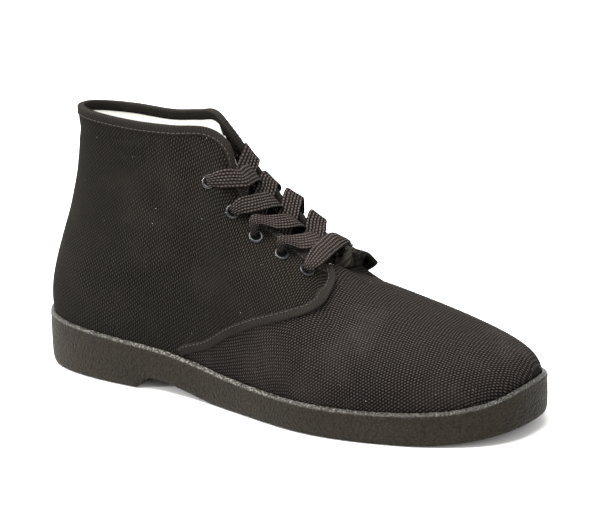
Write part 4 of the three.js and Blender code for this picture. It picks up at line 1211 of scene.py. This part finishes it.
def tongue_rows(depth):
    rows = []
    for edge_share, sink, crown in TONGUE:
        deep = TONGUE_DEPTH * (1 + sink) + depth
        points = {}
        for side in (-1, 1):
            angle = np.array([-side * float(angle_at(edge_share))])
            _, way_round, way_up, _ = frame_at(base_surface, angle, np.array([1.0]))
            # length of cloth in a whole rise, square to the facing's edge
            square = np.linalg.norm(np.cross(way_round, way_up)) / np.linalg.norm(way_round)
            seats = [seat_on(base_surface, side, edge_share, 1 - inside / square)
                     for inside in TONGUE_REACH]
            points[side] = [p - n * deep for p, n in seats]
        middle = mix(points[-1][2], points[1][2], .5) + np.array([0, 0, TONGUE_DEPTH * crown])
        rows.append(spline([*points[-1], middle, *points[1][::-1]], TONGUE_COLUMNS)[0])
    rows = np.array(rows)
    first = rows[0] + unit(rows[0] - rows[1]) * TONGUE_TUCK
    rows = np.concatenate([[first], rows])
    return np.stack([spline(rows[:, c], TONGUE_ROWS)[0] for c in range(TONGUE_COLUMNS)], 1)


outer, inner = tongue_rows(0), tongue_rows(TONGUE_WALL)
run = run_along(outer[:, TONGUE_COLUMNS // 2])
over = np.linspace(-TONGUE_HALF, TONGUE_HALF, TONGUE_COLUMNS)
uv = np.stack(np.broadcast_arrays(over[None, :], run[:, None]), -1)
tongue = closed_sheet("canvas_tongue", outer, inner, uv, tongue_canvas)
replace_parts(tongue, "tongue")
print("tongue:", round(run[-1]), "mm long")

# %% [markdown]
# The insole is a flat bed of cloth-covered board inside the cup. Only a little of it can be
# seen, and its CAD mesh is already as smooth as the real one, so it keeps that mesh and gets
# the lining's cloth. Its texture coordinates are its plan, in millimetres.

# %% Insole
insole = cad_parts["insole"]
layer = insole.data.uv_layers.new(name="cloth")
loops = np.empty(len(insole.data.loops), dtype=np.int32)
insole.data.loops.foreach_get("vertex_index", loops)
flat = np.empty(len(insole.data.vertices) * 3)
insole.data.vertices.foreach_get("co", flat)
layer.data.foreach_set("uv", (flat.reshape(-1, 3)[loops][:, :2] * 1000).ravel())
layer.active = True
insole.data.materials.clear()
insole.data.materials.append(lining)
print("insole:", len(insole.data.polygons), "faces, finish", lining.name)

# %% [markdown]
# The picture is taken from the outer side, a little ahead and above, with a long lens. A camera
# could be aimed by eye. This one was worked out from the photo instead: the outline's corners
# fix its place, its three turns and its focal length, so that the shoe has the photo's place
# and size in the frame.

# %% Camera
FOCAL_PIXELS, FRAME_PIXELS, SENSOR = 2200.18, 600, 36
# place in the shoe's own metres, before the frame's zero is taken off
CAMERA_X, CAMERA_Y, CAMERA_Z = 0.69213, -0.93112, 0.40943
yaw, pitch, roll = (math.radians(a) for a in (29.99, 17.56, -1.6))
forward = Vector((-math.sin(yaw) * math.cos(pitch), math.cos(yaw) * math.cos(pitch),
                  -math.sin(pitch)))
right = Vector((math.cos(yaw), math.sin(yaw), 0))
upward = right.cross(forward)
right, upward = (math.cos(roll) * right + math.sin(roll) * upward,
                 -math.sin(roll) * right + math.cos(roll) * upward)
camera = bpy.data.objects.new("camera", bpy.data.cameras.new("camera"))
bpy.context.scene.collection.objects.link(camera)
turn = Matrix((right, upward, -forward)).transposed().to_4x4()
place = (CAMERA_X - LENGTH / 2000, CAMERA_Y - MIDDLE / 1000, CAMERA_Z)
camera.matrix_world = Matrix.Translation(place) @ turn
camera.data.sensor_width = SENSOR
camera.data.lens = FOCAL_PIXELS * SENSOR / FRAME_PIXELS
camera.data.clip_start = 0.05
bpy.context.scene.camera = camera
print("lens:", round(camera.data.lens), "mm")

# %% [markdown]
# The light is a plain soft studio. A picture of a real studio could light the shoe, but a scene
# that reads no files is simpler to pass on. A white surround fills the shadows, a broad soft
# box hangs overhead, and a weaker one stands in front. A narrow strip at the left draws the
# bright line along the sole's lip, and a small lamp above left picks out the weave.

# %% Light
world = bpy.data.worlds.new("white surround")
world.use_nodes = True
world.node_tree.nodes["Background"].inputs[0].default_value = (1, 1, 1, 1)
world.node_tree.nodes["Background"].inputs[1].default_value = 1.0
bpy.context.scene.world = world


def soft_box(name, place, aim, size, power):
    """place, aim and size in metres, power in watts"""
    light = bpy.data.objects.new(name, bpy.data.lights.new(name, "AREA"))
    light.data.shape = "RECTANGLE"
    light.data.size, light.data.size_y = size
    light.data.energy = power
    light.location = place
    light.rotation_euler = (Vector(aim) - Vector(place)).to_track_quat("-Z", "Y").to_euler()
    bpy.context.scene.collection.objects.link(light)
    light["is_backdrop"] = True


soft_box("soft box overhead", (-0.1, -0.25, 1.3), (0, 0, 0.05), (1.1, 0.9), 42)
soft_box("soft box in front", (1.2, -0.9, 0.8), (0, 0, 0.05), (0.7, 0.7), 7)
soft_box("bright strip at the left", (-0.95, -1.0, 0.55), (0, 0, 0.06), (0.15, 0.25), 16)
soft_box("small lamp above left", (-0.55, -0.4, 0.9), (0, 0, 0.06), (0.16, 0.16), 1.2)
print("lights:", len(bpy.data.lights))

# %% [markdown]
# The shoe stands on a bright white ground that only darkens under it. A shadow catcher would
# drop the light that a floor throws back on the rubber, so this is a real floor, pale and
# slightly uneven, far wider than the picture. It lies a hair below the shoe, so the two never
# share a plane.

# %% Floor
FLOOR_HALF, FLOOR_DROP = 6, -.0002
g = Graph("pale floor")
floor_tone = g.mix(g.noise(g.solid(), 3.0), (.9, .895, .885), (.93, .925, .915))
pale = g.finish(Base_Color=floor_tone, Roughness=.7, Specular_IOR_Level=.2)
floor_mesh = bpy.data.meshes.new("floor")
corners = [(x * FLOOR_HALF, y * FLOOR_HALF, FLOOR_DROP)
           for x, y in ((-1, -1), (1, -1), (1, 1), (-1, 1))]
floor_mesh.from_pydata(corners, [], [(0, 1, 2, 3)])
floor = bpy.data.objects.new("floor", floor_mesh)
floor_mesh.materials.append(pale)
bpy.context.scene.collection.objects.link(floor)
floor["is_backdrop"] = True
bpy.context.scene.view_settings.view_transform = "Standard"
print("floor:", 2 * FLOOR_HALF, "m wide")

# %% [markdown]
# Last, the size of the dressed shoe is written beside the size of the CAD model. Cloth and laces
# may stand a little proud of their solids, but the shoe mustn't grow.

# %% Sizes and finish
box_after = plain_box(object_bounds())
print("dressed box", box_after)
